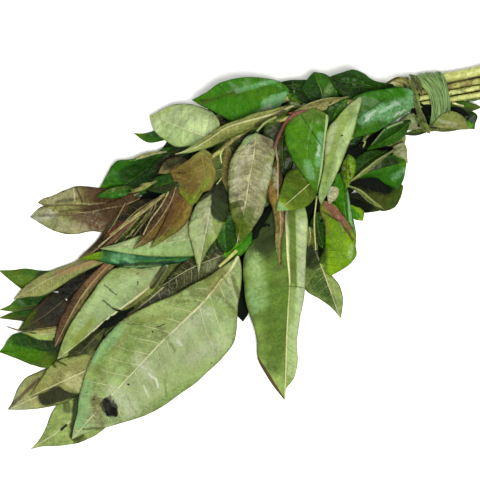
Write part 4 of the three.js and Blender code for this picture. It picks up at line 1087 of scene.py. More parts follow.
# The outlines seen from above: the midrib from stalk to tip, then the left margin and the right margin.
OUTLINES = {
    "leaf_olive_tan": (
        [(-152, -32.5), (-153, -39), (-151.5, -46), (-151.5, -52), (-154, -59), (-157, -65), (-160, -70.5)],
        [(-147.5, -35), (-146, -40), (-144.5, -45), (-143.7, -50), (-145, -55), (-146, -59.5), (-151, -61),
         (-154, -64.5), (-157, -69)],
        [(-154, -34), (-157, -37), (-162, -40.5), (-168, -44.5), (-174, -49), (-172, -54), (-169, -60),
         (-166.5, -65), (-164, -68)]),
    "leaf_tan_centre": (
        [(-117, -22), (-118, -32), (-119.5, -42), (-121.5, -52), (-123, -62), (-125, -74), (-127.5, -84),
         (-130, -96)],
        [(-113, -24), (-108, -25), (-105.5, -29), (-104.5, -35), (-106, -42), (-107, -50), (-109, -58),
         (-110.5, -66), (-113, -75), (-117, -82), (-121, -88), (-126, -93)],
        [(-121, -22), (-125, -26), (-129, -32), (-133, -38), (-135.5, -46), (-136, -54), (-135.5, -62),
         (-135, -70), (-134, -77), (-131.5, -84), (-130.5, -90)]),
    "leaf_grey_green": (
        [(-141, -52), (-144, -60), (-147, -68), (-148.5, -78), (-151, -90), (-153.5, -102), (-155.5, -115)],
        [(-138, -58), (-136, -64), (-134.5, -70), (-136, -77), (-139, -84), (-143, -92), (-148, -98),
         (-152, -105), (-154, -110)],
        [(-148, -60), (-154, -65), (-158, -72), (-161.5, -81), (-162, -89), (-160, -97), (-158.5, -103),
         (-157, -109)]),
    "leaf_young_golden": (
        [(-161, -56), (-164, -66), (-169.5, -77), (-176, -86), (-182, -93), (-187.5, -99)],
        [(-158, -60), (-159, -70), (-161, -78), (-165, -84), (-170, -88.5), (-176, -92), (-182, -96)],
        [(-167, -60), (-172, -68), (-176, -76), (-180, -84), (-183.5, -91), (-186, -96)]),
    "leaf_young_brown": (
        [(-170, -58), (-172.5, -66), (-177.5, -75), (-184, -84), (-191, -92), (-199, -99.5)],
        [(-165, -60), (-166, -68), (-170.5, -77), (-177, -86), (-184, -92), (-192, -97)],
        [(-174, -61), (-179, -66), (-184, -75), (-189, -83), (-193.5, -90), (-197, -96)]),
    "leaf_sea_green": (
        [(-148, -91), (-162, -93), (-180, -96), (-200, -98), (-221, -99)],
        [(-150, -100), (-160, -104), (-170, -104.5), (-180, -104.5), (-190, -104), (-200, -102.8),
         (-211, -101)],
        [(-150, -82), (-162, -80), (-172, -84), (-182, -86), (-192, -89), (-202, -93), (-211, -96)]),
    "leaf_teal_roll": (
        [(-158, -104), (-176, -106.5), (-194, -107.5), (-210, -106), (-222, -104), (-235, -106)],
        [(-165, -107.5), (-178, -110), (-188, -111.5), (-198, -112.5), (-206, -111.5), (-214, -109.5),
         (-224, -107)],
        [(-165, -102.5), (-180, -103), (-195, -102.5), (-208, -101), (-219, -100.5), (-229, -103.5)]),
    "leaf_olive_edge": (
        [(-92, -5), (-104, -10), (-116, -13.5), (-127, -16.5), (-137, -20), (-147, -26.5), (-157, -32.5),
         (-171, -37)],
        [(-98, -10), (-108, -15.5), (-118, -19.5), (-128, -24), (-137, -27.5), (-145, -31.5), (-153, -34),
         (-162, -36)],
        [(-97, -5), (-107, -7.5), (-118, -10), (-128, -14), (-138, -17.5), (-147, -23), (-156, -29),
         (-165, -34.5)]),
    "leaf_pale_top_left": (
        [(-141, -28.5), (-151, -25), (-161, -21.5), (-171, -17.5), (-180, -13.5), (-188, -11)],
        [(-144, -31), (-150, -32), (-160, -31.5), (-171, -31.5), (-178, -27), (-184, -22), (-187, -16)],
        [(-139, -24), (-142, -15), (-146, -9), (-152, -6), (-160, -3.5), (-168, -3), (-176, -5), (-184, -9)]),
    "leaf_glossy_top": (
        [(-95, 5), (-108, 8), (-122, 7), (-136, 3.5), (-148, -0.5), (-160, -0.5)],
        [(-95, -2), (-97, -5.5), (-104, -6.5), (-112, -9.5), (-120, -14), (-128, -17), (-136, -14),
         (-144, -9), (-152, -5.5)],
        [(-97, 8), (-103, 12), (-112, 13.5), (-122, 14.2), (-132, 13), (-142, 10), (-150, 4.5), (-155, 1.8)]),
    "leaf_glossy_right": (
        [(-11, 3), (-24, -1), (-36, -7), (-48, -15), (-58, -22), (-64, -28)],
        [(-13, -4), (-17, -9), (-23, -13), (-30, -17), (-38, -22), (-46, -24.5), (-55, -26)],
        [(-14, 5.5), (-22, 7.5), (-34, 6), (-45, 4), (-54, 0), (-60, -10)]),
    "leaf_dark_right": (
        [(-15, -14), (-22, -21), (-30, -26), (-38, -30.5), (-44.5, -34)],
        [(-16, -17), (-18, -22), (-23, -28), (-31, -31), (-39, -33)],
        [(-20, -14.5), (-28, -16.5), (-33, -20), (-38, -26), (-42, -31)]),
    "leaf_vivid_right": (
        [(-17, -42), (-26, -44), (-34, -46), (-42, -48.5), (-53, -52.5)],
        [(-17.5, -46), (-19.5, -53), (-23, -59.5), (-30, -57), (-37, -52.5), (-45, -52), (-50, -53)],
        [(-19, -38), (-25, -36), (-31, -38), (-38, -43), (-45, -48), (-50, -51)]),
    "leaf_hollow_right": (
        [(-19, -57), (-29, -62), (-38, -61), (-48, -57.5), (-58, -57)],
        [(-20, -62), (-22.5, -68), (-28, -73.5), (-36, -73.6), (-43, -66), (-49, -61), (-55, -58.5)],
        [(-23, -56), (-28, -55), (-34, -53), (-42, -50.5), (-50, -52.5)]),
    "leaf_glossy_narrow": (
        [(-60, -42), (-59.5, -55), (-59, -66), (-57.5, -77), (-54.5, -87), (-51, -94)],
        [(-58, -48), (-56.5, -58), (-55, -68), (-52.6, -80), (-50.8, -90)],
        [(-64, -50), (-68, -58), (-67, -66), (-63.5, -75), (-58.5, -84)]),
    "leaf_lime_curl": (
        [(-74, -67), (-66, -78), (-61, -88), (-60, -98), (-63, -108), (-68, -117.5)],
        [(-66, -69), (-60, -76), (-54, -84), (-50.8, -92), (-51.2, -97), (-50.2, -102), (-53.5, -108),
         (-60, -113)],
        [(-75, -74), (-72.5, -81), (-71.5, -90), (-72.5, -99), (-75.5, -109), (-73, -115)]),
    "leaf_mid_olive": (
        [(-84, -80), (-81, -92), (-77, -103), (-73, -113), (-69, -124), (-65, -135), (-61, -146)],
        [(-80, -84), (-77, -92), (-75, -102), (-72, -112), (-66, -118), (-61.5, -124), (-59.5, -131),
         (-59.7, -139)],
        [(-88, -86), (-90, -98), (-89, -110), (-87, -120), (-84, -127), (-77, -131.5), (-70, -136),
         (-65, -140.5)]),
    "leaf_long_two_tone": (
        [(-94, -62), (-97.5, -76), (-97, -90), (-96.5, -104), (-95, -122), (-96, -140), (-97, -160),
         (-97.5, -180), (-98.3, -200)],
        [(-88, -66), (-84, -75), (-83, -88), (-84, -100), (-84.5, -115), (-85, -128), (-88, -145),
         (-90, -160), (-90, -178), (-93, -187), (-96.5, -191)],
        [(-104, -70), (-113, -84), (-121, -96), (-125.5, -106), (-126, -116), (-125, -128), (-122, -142),
         (-118.5, -152), (-117, -160), (-116, -173), (-110, -184), (-104, -193)]),
    "leaf_blush_narrow": (
        [(-103, -38), (-103, -50), (-103, -62), (-101.7, -74), (-101.2, -86), (-102.5, -98), (-101.2, -112)],
        [(-101, -44), (-100, -54), (-100.5, -64), (-99, -75), (-99.2, -86), (-100.5, -98), (-100.5, -108)],
        [(-107, -44), (-109.5, -53), (-110, -63), (-106.5, -73), (-105, -83), (-104.8, -95), (-102.8, -106)]),
    "leaf_olive_fold": (
        [(-75, -49), (-83, -57), (-91, -64), (-98, -70), (-104, -74.5)],
        [(-75, -54), (-77, -62), (-81, -69), (-88, -72.5), (-96, -73.8)],
        [(-78, -46), (-88, -46), (-96, -48), (-100, -57), (-102.5, -66)]),
    "leaf_glossy_fold": (
        [(-78, -6), (-80, -18), (-83, -32), (-82, -46), (-77, -63)],
        [(-72, -6), (-70, -12), (-71.5, -24), (-72.5, -34), (-73.5, -44), (-74.5, -52), (-76.3, -58)],
        [(-84, -8), (-88.5, -9), (-94, -13), (-98.5, -21), (-98, -29), (-94.5, -39), (-88, -48.5),
         (-82, -56.5)]),
    "leaf_pale_fold": (
        [(-48.5, 1), (-55, -12), (-62, -26), (-67, -42), (-71, -56), (-74.7, -70)],
        [(-48.2, -3), (-50, -10), (-53, -22), (-57, -32), (-62, -45), (-68, -58), (-72, -65.5)],
        [(-55, -3), (-61, -9), (-66, -15), (-70, -19.5), (-72, -30), (-73, -45), (-75.5, -58), (-76.5, -64)]),
    "leaf_dark_back_left": (
        [(-169, -31), (-180, -40), (-192, -48), (-204, -56), (-216, -63), (-226, -66)],
        [(-168, -38), (-172, -48), (-181, -57), (-192, -63), (-204, -66.5), (-216, -67.5)],
        [(-176, -31), (-186, -36), (-198, -39.5), (-211, -41.5), (-216, -49), (-221, -58)]),
    "leaf_brown_left_high": (
        [(-194, -61.5), (-206, -67.5), (-222, -69), (-240, -69.5), (-252, -69.5), (-263, -68.5)],
        [(-200, -66), (-212, -71), (-225, -73), (-240, -73.5), (-254, -72.5)],
        [(-200, -58), (-212, -59), (-224, -58.5), (-236, -57.5), (-246, -60.5), (-254, -64.3), (-260, -66)]),
    "leaf_brown_left_low": (
        [(-194, -65), (-205, -70), (-217, -72.5), (-230, -75), (-245, -76.5), (-268, -78)],
        [(-198, -74), (-208, -82), (-216, -88.2), (-226, -87.5), (-238, -89.5), (-250, -88), (-259, -83.5)],
        [(-200, -63), (-212, -67.5), (-226, -70.5), (-240, -70), (-252, -70.5), (-261, -71.5), (-265, -75)]),
    "leaf_slender_plum": (
        [(-184, -66), (-198, -75), (-208, -85), (-218, -95), (-227, -102), (-237, -107)],
        [(-192, -75), (-201, -84), (-211, -93), (-219, -99), (-228, -104.5)],
        [(-192, -66), (-205, -72), (-214, -83), (-221, -93), (-229, -101)]),
    "leaf_split_pale": (
        [(-174, -105), (-180, -114), (-186, -122), (-195, -130), (-206, -138), (-219, -148), (-233, -160),
         (-249.5, -172.5)],
        [(-175, -110), (-180, -120), (-187, -129), (-197, -136), (-208, -143), (-221, -153), (-234, -164),
         (-243, -170.5)],
        [(-180, -106), (-190, -109.5), (-202, -110.5), (-212, -112.5), (-220, -120), (-228, -131),
         (-236, -142), (-243, -154), (-247.5, -165)]),
    "leaf_big_pale": (
        [(-129, -103.5), (-133, -111), (-141, -120.5), (-150, -132), (-165, -147), (-180, -161), (-195, -177),
         (-210, -193), (-225, -209), (-240, -226)],
        [(-127.5, -108), (-127, -120), (-129, -135), (-130, -150), (-132, -161), (-140, -172), (-150, -181.5),
         (-160, -190), (-172, -199), (-185, -207), (-200, -213), (-210, -216), (-221, -219), (-232, -222.5)],
        [(-135, -108), (-141, -112), (-150, -118), (-160, -123), (-170, -129), (-180, -133), (-190, -137.5),
         (-200, -143), (-208, -148), (-215, -155), (-220, -161), (-225, -170), (-230, -180), (-233, -190),
         (-235.5, -200), (-236, -208), (-238.5, -217)]),
    "leaf_olive_left": (
        [(-206, -166), (-218, -174), (-230, -180), (-242, -185.5), (-254, -191), (-268, -197.5)],
        [(-212, -178), (-222, -190), (-235, -196), (-244, -194), (-249, -190.5), (-257, -194.5)],
        [(-214, -163), (-226, -167.5), (-238, -170.5), (-248, -172.5), (-255, -178), (-260, -185),
         (-264.5, -192)]),
    "leaf_grey_corner": (
        [(-212, -172), (-230, -182), (-248, -191), (-264, -198), (-283, -206.5)],
        [(-222, -186), (-234, -196), (-246, -202), (-258, -205), (-272, -206.5)],
        [(-224, -168), (-238, -171), (-252, -177), (-262, -181), (-271, -185.5), (-276.5, -193),
         (-279.5, -201)]),
    "leaf_olive_corner": (
        [(-206, -182), (-220, -195), (-234, -208), (-248, -220), (-268, -233)],
        [(-206, -196), (-212, -211), (-222, -222), (-234, -228), (-248, -230.5), (-260, -231)],
        [(-216, -184), (-229, -189), (-241, -194), (-249, -202), (-254.5, -211), (-258, -220), (-263, -228)]),
    "leaf_black_left": (
        [(-214, -104), (-230, -119), (-246, -134), (-260, -145), (-276, -154)],
        [(-218, -115), (-228, -128), (-238, -141), (-247, -150), (-258, -153), (-268, -154)],
        [(-224, -107), (-236, -115), (-248, -124), (-258, -132), (-266, -140), (-272, -148)]),
    "leaf_olive_strip_left": (
        [(-204, -103), (-222, -106), (-240, -112.5), (-256, -120), (-268, -127), (-279, -133)],
        [(-214, -107), (-226, -112), (-238, -118), (-249, -125), (-258, -130), (-270, -131.5)],
        [(-214, -101), (-228, -104), (-241, -109), (-252, -113), (-262, -117.5), (-270, -123), (-275, -128)]),
    "leaf_brown_strip": (
        [(-204, -101), (-216, -111), (-226, -121.5), (-234, -132), (-240.5, -143), (-246.5, -155),
         (-251.5, -165)],
        [(-210, -109), (-219, -119), (-226, -128), (-232, -138), (-238, -149), (-245, -159)],
        [(-210, -103), (-221, -111), (-230, -119.5), (-238, -129), (-244, -139), (-249, -150),
         (-251.5, -159)]),
    "leaf_lime_left": (
        [(-222, -106), (-240, -111), (-258, -117), (-274, -118), (-289, -113.5)],
        [(-236, -117), (-250, -123), (-262, -126), (-271, -126.8), (-279, -122), (-285, -117)],
        [(-236, -108), (-250, -113.5), (-261, -113.6), (-271, -112.4), (-280, -113.4)]),
    "leaf_two_tips_high": (
        [(-236, -128), (-252, -134), (-268, -137), (-289, -140)],
        [(-246, -140), (-258, -144), (-270, -142.5), (-280, -141)],
        [(-246, -127), (-258, -129.5), (-268, -130), (-276, -132), (-281, -136.5)]),
    "leaf_bright_left": (
        [(-236, -168), (-255, -168), (-272, -166.5), (-289, -168)],
        [(-244, -175), (-256, -178.5), (-266, -176.5), (-275, -173), (-283, -170)],
        [(-244, -161), (-254, -158), (-264, -155), (-275, -155), (-281, -157.5), (-284.5, -163.5)]),
    "leaf_behind_tie": (
        [(13.4, -9), (19, -11), (24, -14), (28.5, -19.5)],
        [(17, -6), (23, -7), (29, -8.5), (30.5, -11), (29, -15)],
        [(15, -13), (19, -17), (24, -19)]),
    "leaf_up_green": (
        [(-70, -10), (-73, -2), (-74.5, 6), (-77, 12), (-79, 18)],
        [(-76, -8), (-82, -1), (-87, 6), (-85, 11), (-81.5, 15.5)],
        [(-66, -6), (-63, 2), (-64.5, 9), (-68, 14), (-74, 17.2)]),
    "leaf_deep_green": (
        [(-54, 1), (-68, 2), (-82, 4.5), (-92, 8), (-101, 11.5)],
        [(-60, -5), (-72, -5), (-82, -4), (-90, -1), (-97, 6)],
        [(-60, 8), (-70, 11), (-80, 12.5), (-90, 12.7), (-97, 12.4)]),
    "leaf_deep_green_right": (
        [(-24, 6), (-36, 6.5), (-48, 8), (-60, 10.5), (-70, 14)],
        [(-30, 2), (-42, 0), (-54, -2), (-62, 3), (-67, 9)],
        [(-26, 9.3), (-34, 10.7), (-41, 12.7), (-47, 17), (-53, 19), (-60, 17.3), (-66, 15.5)]),
    "leaf_tan_crease": (
        [(-130, -100), (-146, -106), (-162, -113), (-180, -124)],
        [(-134, -108), (-146, -117), (-158, -123), (-170, -127)],
        [(-138, -97), (-150, -99), (-162, -105), (-172, -114)]),
    "leaf_dark_tip": (
        [(-168, -20), (-178, -24), (-188, -25.5), (-199, -22)],
        [(-172, -24), (-181, -27.5), (-189, -28.5), (-194, -26)],
        [(-172, -16), (-180, -19), (-186, -21), (-193, -22.5)]),
    "leaf_dark_fold": (
        [(-152, -101), (-168, -115), (-186, -131), (-204, -145), (-224, -160)],
        [(-152, -112), (-162, -124), (-176, -135), (-192, -148), (-208, -158)],
        [(-160, -99), (-170, -104), (-180, -114), (-192, -128), (-204, -139), (-215, -151)]),
}
BACK_OF = {"upper": "under", "buried": "under", "under": "upper", "young": "under"}
BACK_TONES = {"upper": "fern fern moss fern", "under": "sage sage leek sage"}
BACK_SEED = 3.0

# ---- The pile: what lies under and over a place ----
STEMS_AFTER = {
    "leaf_dark_tip": ["stem_low_back", "stem_low_middle", "stem_low_front"],
    "leaf_tan_crease": ["stem_high_middle", "stem_high_front", "stem_high_back"],
    "leaf_grey_green": ["stem_high_inner"],
}
ORDER = []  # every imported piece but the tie, from the surface upwards
for name in LEAVES:
    ORDER += [name, *STEMS_AFTER.get(name, [])]
LAID = [(name, *solid(name)[::2]) for name in ORDER]  # (name, points, faces), growing as pieces are laid
MOST_SHIFT = 4.0
CLEAR = 0.45  # kept between a laid piece and what is under and over it
PRESSED_UP, PRESSED_DOWN = 0.3, 0.2  # how far that may be given up, where there's no room
ABOVE_ALL, BELOW_ALL = 200.0, -5.0  # heights outside the pile
NEARBY = ((0, 0), (2, 0), (-2, 0), (0, 2), (0, -2))  # places round a laid point that it has to clear
SAGGING_ROUNDS, EASING_ROUNDS = 160, 4
PLAN_STEP, LOOSE_STEP = 4, 7  # between the rows of an outlined leaf, and of a loose leaf with half widths
TWIG_STEP, TWIG_ROUNDS, TWIG_SAG = 2.5, 40, 0.05
UP, DOWN = Vector((0, 0, 1)), Vector((0, 0, -1))


def level_of(name):
    """Where a piece is in the pile."""
    return [entry[0] for entry in LAID].index(name)


def as_laid(name, rows):
    """A laid leaf as an entry of LAID."""
    index = np.arange(rows.shape[0] * 5).reshape(-1, 5)
    return name, rows.reshape(-1, 3), grid_faces(index).tolist()


def tree_of(pieces):
    """What rays can hit of some entries of LAID, or None where there's nothing."""
    points, triangles = [], []
    for _, corners, faces in pieces:
        triangles += [[i + len(points) for i in face] for face in faces]
        points += [tuple(corner) for corner in corners]
    return BVHTree.FromPolygons(points, triangles) if triangles else None


def room_at(below, above, x, y):
    """The height of what lies under a place, and of what lies over it."""
    low = below.ray_cast(Vector((x, y, ABOVE_ALL)), DOWN)[0] if below else None
    high = above.ray_cast(Vector((x, y, BELOW_ALL)), UP)[0] if above else None
    return max(low.z if low else 0.0, 0.0), high.z if high else ABOVE_ALL


def neighbours(height):
    """The mean of the four heights round each place of a grid."""
    padded = np.pad(height, 1, mode="edge")
    return (padded[:-2, 1:-1] + padded[2:, 1:-1] + padded[1:-1, :-2] + padded[1:-1, 2:]) / 4


def lay(points, under, stiffness):
    """Heights for a grid of places, laid on every piece that comes before under and kept below the others."""
    level = level_of(under) if under else len(LAID)
    below, above = tree_of(LAID[:level]), tree_of(LAID[level:])
    low, high = np.zeros(points.shape[:2]), np.zeros(points.shape[:2])
    for i, j in np.ndindex(*low.shape):
        x, y = points[i, j]
        spots = [room_at(below, above, x + dx, y + dy) for dx, dy in NEARBY]
        low[i, j], high[i, j] = max(spot[0] for spot in spots) + CLEAR, spots[0][1] - CLEAR
    height = np.full(low.shape, low.max())
    for _ in range(SAGGING_ROUNDS):
        height = np.maximum(low, neighbours(height) - stiffness)
    for _ in range(EASING_ROUNDS):
        height = 0.5 * height + 0.5 * neighbours(height)
    height = np.minimum(np.maximum(height, low - PRESSED_UP), np.maximum(high, low - PRESSED_DOWN))
    return height, level


def reach_of(point, direction, edge):
    """How far a line along an edge is from a point in a direction."""
    a, b = edge[:-1] - point, edge[1:] - edge[:-1]
    turn = direction[0] * b[:, 1] - direction[1] * b[:, 0]
    turn = np.where(np.abs(turn) < 1e-9, 1e-9, turn)
    away = (a[:, 0] * b[:, 1] - a[:, 1] * b[:, 0]) / turn
    share = (a[:, 0] * direction[1] - a[:, 1] * direction[0]) / turn
    hits = away[(share >= 0) & (share <= 1) & (away > 0)]
    return hits.min() if len(hits) else 0.5


def stations_of(length, stalk, step):
    """Distances along a midrib: both ends of the stalk, then even steps to the tip."""
    count = max(6, int(length / step))
    return np.concatenate([[0, STALK_END], stalk + (length - stalk) * np.arange(count) / count, [length]])


def columns_of(centre, left, right):
    """A leaf's five columns from its midrib and the offsets of its two margins."""
    return np.stack([centre + left, centre + left / 2, centre, centre + right / 2, centre + right], 1)


def plan_of(rib, left, right, stalk=4.0):
    """Stations along a rib and the places of a leaf's five columns there, from its rib and two margins."""
    rib = np.array(rib, float)
    dense = evenly(rib, 160)
    at = lengths(dense)
    length = at[-1]
    stations = stations_of(length, min(stalk, 0.08 * length), PLAN_STEP)
    heading = unit(np.gradient(dense, axis=0))
    centre, heading = (read_off(stations, at, line) for line in (dense, heading))
    side = leftwards(unit(heading))
    offsets = []
    for sign, line in ((1, left), (-1, right)):
        edge = evenly(np.concatenate([rib[:1], np.array(line, float), rib[-1:]]), 240)
        reach = np.array([reach_of(*pair, edge) for pair in zip(centre, sign * side)])
        reach[0] = reach[-1] = 0
        reach[1] = STALK_HALF
        offsets.append(sign * side * reach[:, None])
    return stations, columns_of(centre, *offsets)


def outlined(rows, outline):
    """A leaf's rows with the plan of an outline and the heights that the rows have."""
    stations, plan = plan_of(*outline)
    old = lengths(rows[:, 2])
    heights = read_off(stations / stations[-1], old / old[-1], rows[:, :, 2])
    return np.concatenate([plan, heights[:, :, None]], 2)


def settled(name, rows):
    """The rows, raised or lowered a little where they would pass through what lies under or over them."""
    level = level_of(name)
    below, above = tree_of(LAID[:level]), tree_of(LAID[level + 1:])
    shift = np.zeros(rows.shape[:2])
    for i, j in np.ndindex(*shift.shape):
        x, y, z = rows[i, j]
        low, high = room_at(below, above, x, y)
        if z < low + CLEAR:
            shift[i, j] = min(low + CLEAR - z, MOST_SHIFT)
        elif z > high - CLEAR:
            shift[i, j] = max(high - CLEAR - z, -MOST_SHIFT)
    shift[0] = shift[-1] = 0
    rows = rows.copy()
    rows[:, :, 2] += shift
    LAID[level] = as_laid(name, rows)
    return rows


BACKS = {
    face: leaf_material("back_" + face, face, tones.split(), (), BACK_SEED, {})
    for face, tones in BACK_TONES.items()
}


def make_leaf(name, rows, given, seed):
    """A leaf's blade with the face that looks up and a plainer back."""
    face = given["face"]
    front = leaf_material(name, face, given["tones"], given["marks"], seed, given["changes"])
    shape = {key: given["changes"][key] for key in SHAPES if key in given["changes"]}
    side_up = "upper" if face in ("upper", "buried") else "under"
    piece = blade(name + "_blade", rows, side_up, [front, BACKS[BACK_OF[face]]], seed, shape)
    return piece


for number, (name, given) in enumerate(LEAVES.items()):
    rows = leaf_rows(name)
    if name in OUTLINES:
        rows = settled(name, outlined(rows, OUTLINES[name]))
    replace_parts(make_leaf(name, rows, given, number), name)


# ---- Stems ----
def stem_material(name, light, dark, speck, streak):
    """Smooth young bark: streaks that run along it, blotches and small dark marks."""
    material, tree, sockets = new_material(name)
    place = tree.place()
    angle, along, _ = tree.attribute("stem")
    sine, cosine, slow = tree.math("SINE", angle), tree.math("COSINE", angle), tree.times(along, 0.06)
    stretched = tree.add("ShaderNodeCombineXYZ", sine, cosine, slow)
    streaks = tree.noise(stretched, 4.0, 3.0, 0.6)
    blotches = tree.noise(place, 0.2, 5.0, 0.75)
    specks = tree.noise(place, 0.75, 2.0, 0.5)
    tone = tree.mix(tree.ramp(blotches, 0.44, 0.56), TONES[light], TONES[dark])
    tone = tree.mix(tree.times(tree.ramp(streaks, 0.5, 0.7), streak), tone, TONES[dark])
    tone = tree.mix(tree.times(tree.ramp(specks, 0.66, 0.72), 0.75), tone, TONES[speck])
    roughness = tree.value(blotches, 0.5, 0.2)
    relief = tree.line(streaks, 0.35, tree.times(specks, 0.15))
    dress(tree, sockets, tone, roughness, tree.bump(relief))
    return material


def cut_material():
    """A fresh cut across a stem: pale pith in greenish wood."""
    material, tree, sockets = new_material("cut_wood")
    radius = tree.attribute("stem")[2]
    grain = tree.noise(tree.place(), 1.6, 3.0)
    in_wood = tree.ramp(tree.sum(radius, tree.value(grain, 0.0, 0.8)), 0.8, 1.5)
    tone = tree.mix(in_wood, TONES["pith"], TONES["wood"])
    tone = tree.mix(tree.ramp(radius, 2.2, 2.7), tone, TONES["wood_dark"])
    roughness = tree.value(grain, 0.7, 0.2)
    dress(tree, sockets, tone, roughness, tree.bump(tree.times(grain, 0.2)))
    return material


CUT = cut_material()
BARK_TONES = {  # of the bark, its blotches and its specks, and how strong the streaks are
    "pale": ("butter", "wood", "wood_dark", 0.6), "mottled": ("butter", "olive", "moor", 0.7),
    "inner": ("wood", "drab", "moor", 0.7), "twig": ("khaki", "leek", "plum", 0.7),
    "green": ("wood", "meadow", "moor", 0.6), "dark": ("drab", "moor", "umber", 0.8),
    "red": ("rust", "plum", "umber", 0.7), "rosy": ("straw", "sand", "clay", 0.5),
}
BARKS = {name: stem_material("bark_" + name, *values) for name, values in BARK_TONES.items()}
STEM_TIP = (0.8, 0.5)  # how much of its thickness a stem keeps at its last two rings, under the leaves
STEMS = {
    "stem_low_back": "dark", "stem_low_middle": "dark", "stem_low_front": "green", "stem_high_back": "pale",
    "stem_high_inner": "inner", "stem_high_middle": "mottled", "stem_high_front": "pale",
}
STEM_SIDES, TWIG_SIDES = 20, 10
STEM_SEED, LOOSE_SEED, TWIG_SEED = 100, 200, 300  # leaves with a solid of their own begin at 0


def stem_path(node):
    """The middle of a packed stem, from its cut end, and its radius there."""
    start, rings, end = rings_of(node)
    if start[0] < end[0]:
        rings = rings[::-1]
    centres = rings.mean(1)
    return centres, np.linalg.norm(rings - centres[:, None], axis=2).mean(1)


for number, (name, bark) in enumerate(STEMS.items()):
    path, radii = stem_path(name)
    radii[-2:] *= STEM_TIP
    stem = rod(name + "_bark", path, radii, [BARKS[bark], CUT], STEM_SEED + number, STEM_SIDES)
    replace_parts(stem, name)


# ---- Leaves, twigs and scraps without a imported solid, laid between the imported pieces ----
def simple_plan(spine, half_widths, stalk, widest):
    """Stations and columns of a leaf with rounded sides. widest is how far along the blade it's widest."""
    spine = np.asarray(spine, float)
    at = lengths(spine)
    length = at[-1]
    stations = stations_of(length, stalk, LOOSE_STEP)
    centre = flowing(at, spine, stations)
    heading = np.gradient(evenly(spine, 60), axis=0)
    left = leftwards(unit(read_off(stations, np.linspace(0, length, 60), heading)))
    t = np.clip((stations - stalk) / (length - stalk), 0, 1)
    profile = np.sin(np.pi * t ** (math.log(0.5) / math.log(widest))) ** 0.9
    reach = [np.maximum(0.8 * (stations > 0.1), width * profile) for width in half_widths]
    reach = [np.where(t >= 1, 0, r)[:, None] for r in reach]
    return stations, columns_of(centre, left * reach[0], -left * reach[1])


def loose_leaf(name, spine, widths, given, seed, under=None, arch=0.0, widest=0.44, stalk=4.0, sag=0.12):
    """A leaf laid where its place in the pile lets it. widths are two half widths or two margins."""
    if np.isscalar(widths[0]):
        stations, plan = simple_plan(spine, widths, stalk, widest)
    else:
        stations, plan = plan_of(spine, *widths, stalk=2.0)
    height, level = lay(plan, under, sag)
    height = height + arch * np.sin(np.pi * stations / stations[-1])[:, None]
    height[0], height[-1] = height[0].mean(), height[-1].mean()
    rows = np.concatenate([plan, height[:, :, None]], axis=2)
    LAID.insert(level, as_laid(name, rows))
    make_leaf(name, rows, given, seed)


# DARK and DIM looks are near black or dim all over: painted shade in the gaps of the pile.
DARK = look("buried", "ink ink ink black")
PINE = look("upper", "forest pine forest ink")
DIM = look("upper", "shade moor shade ink", Rough=0.6)
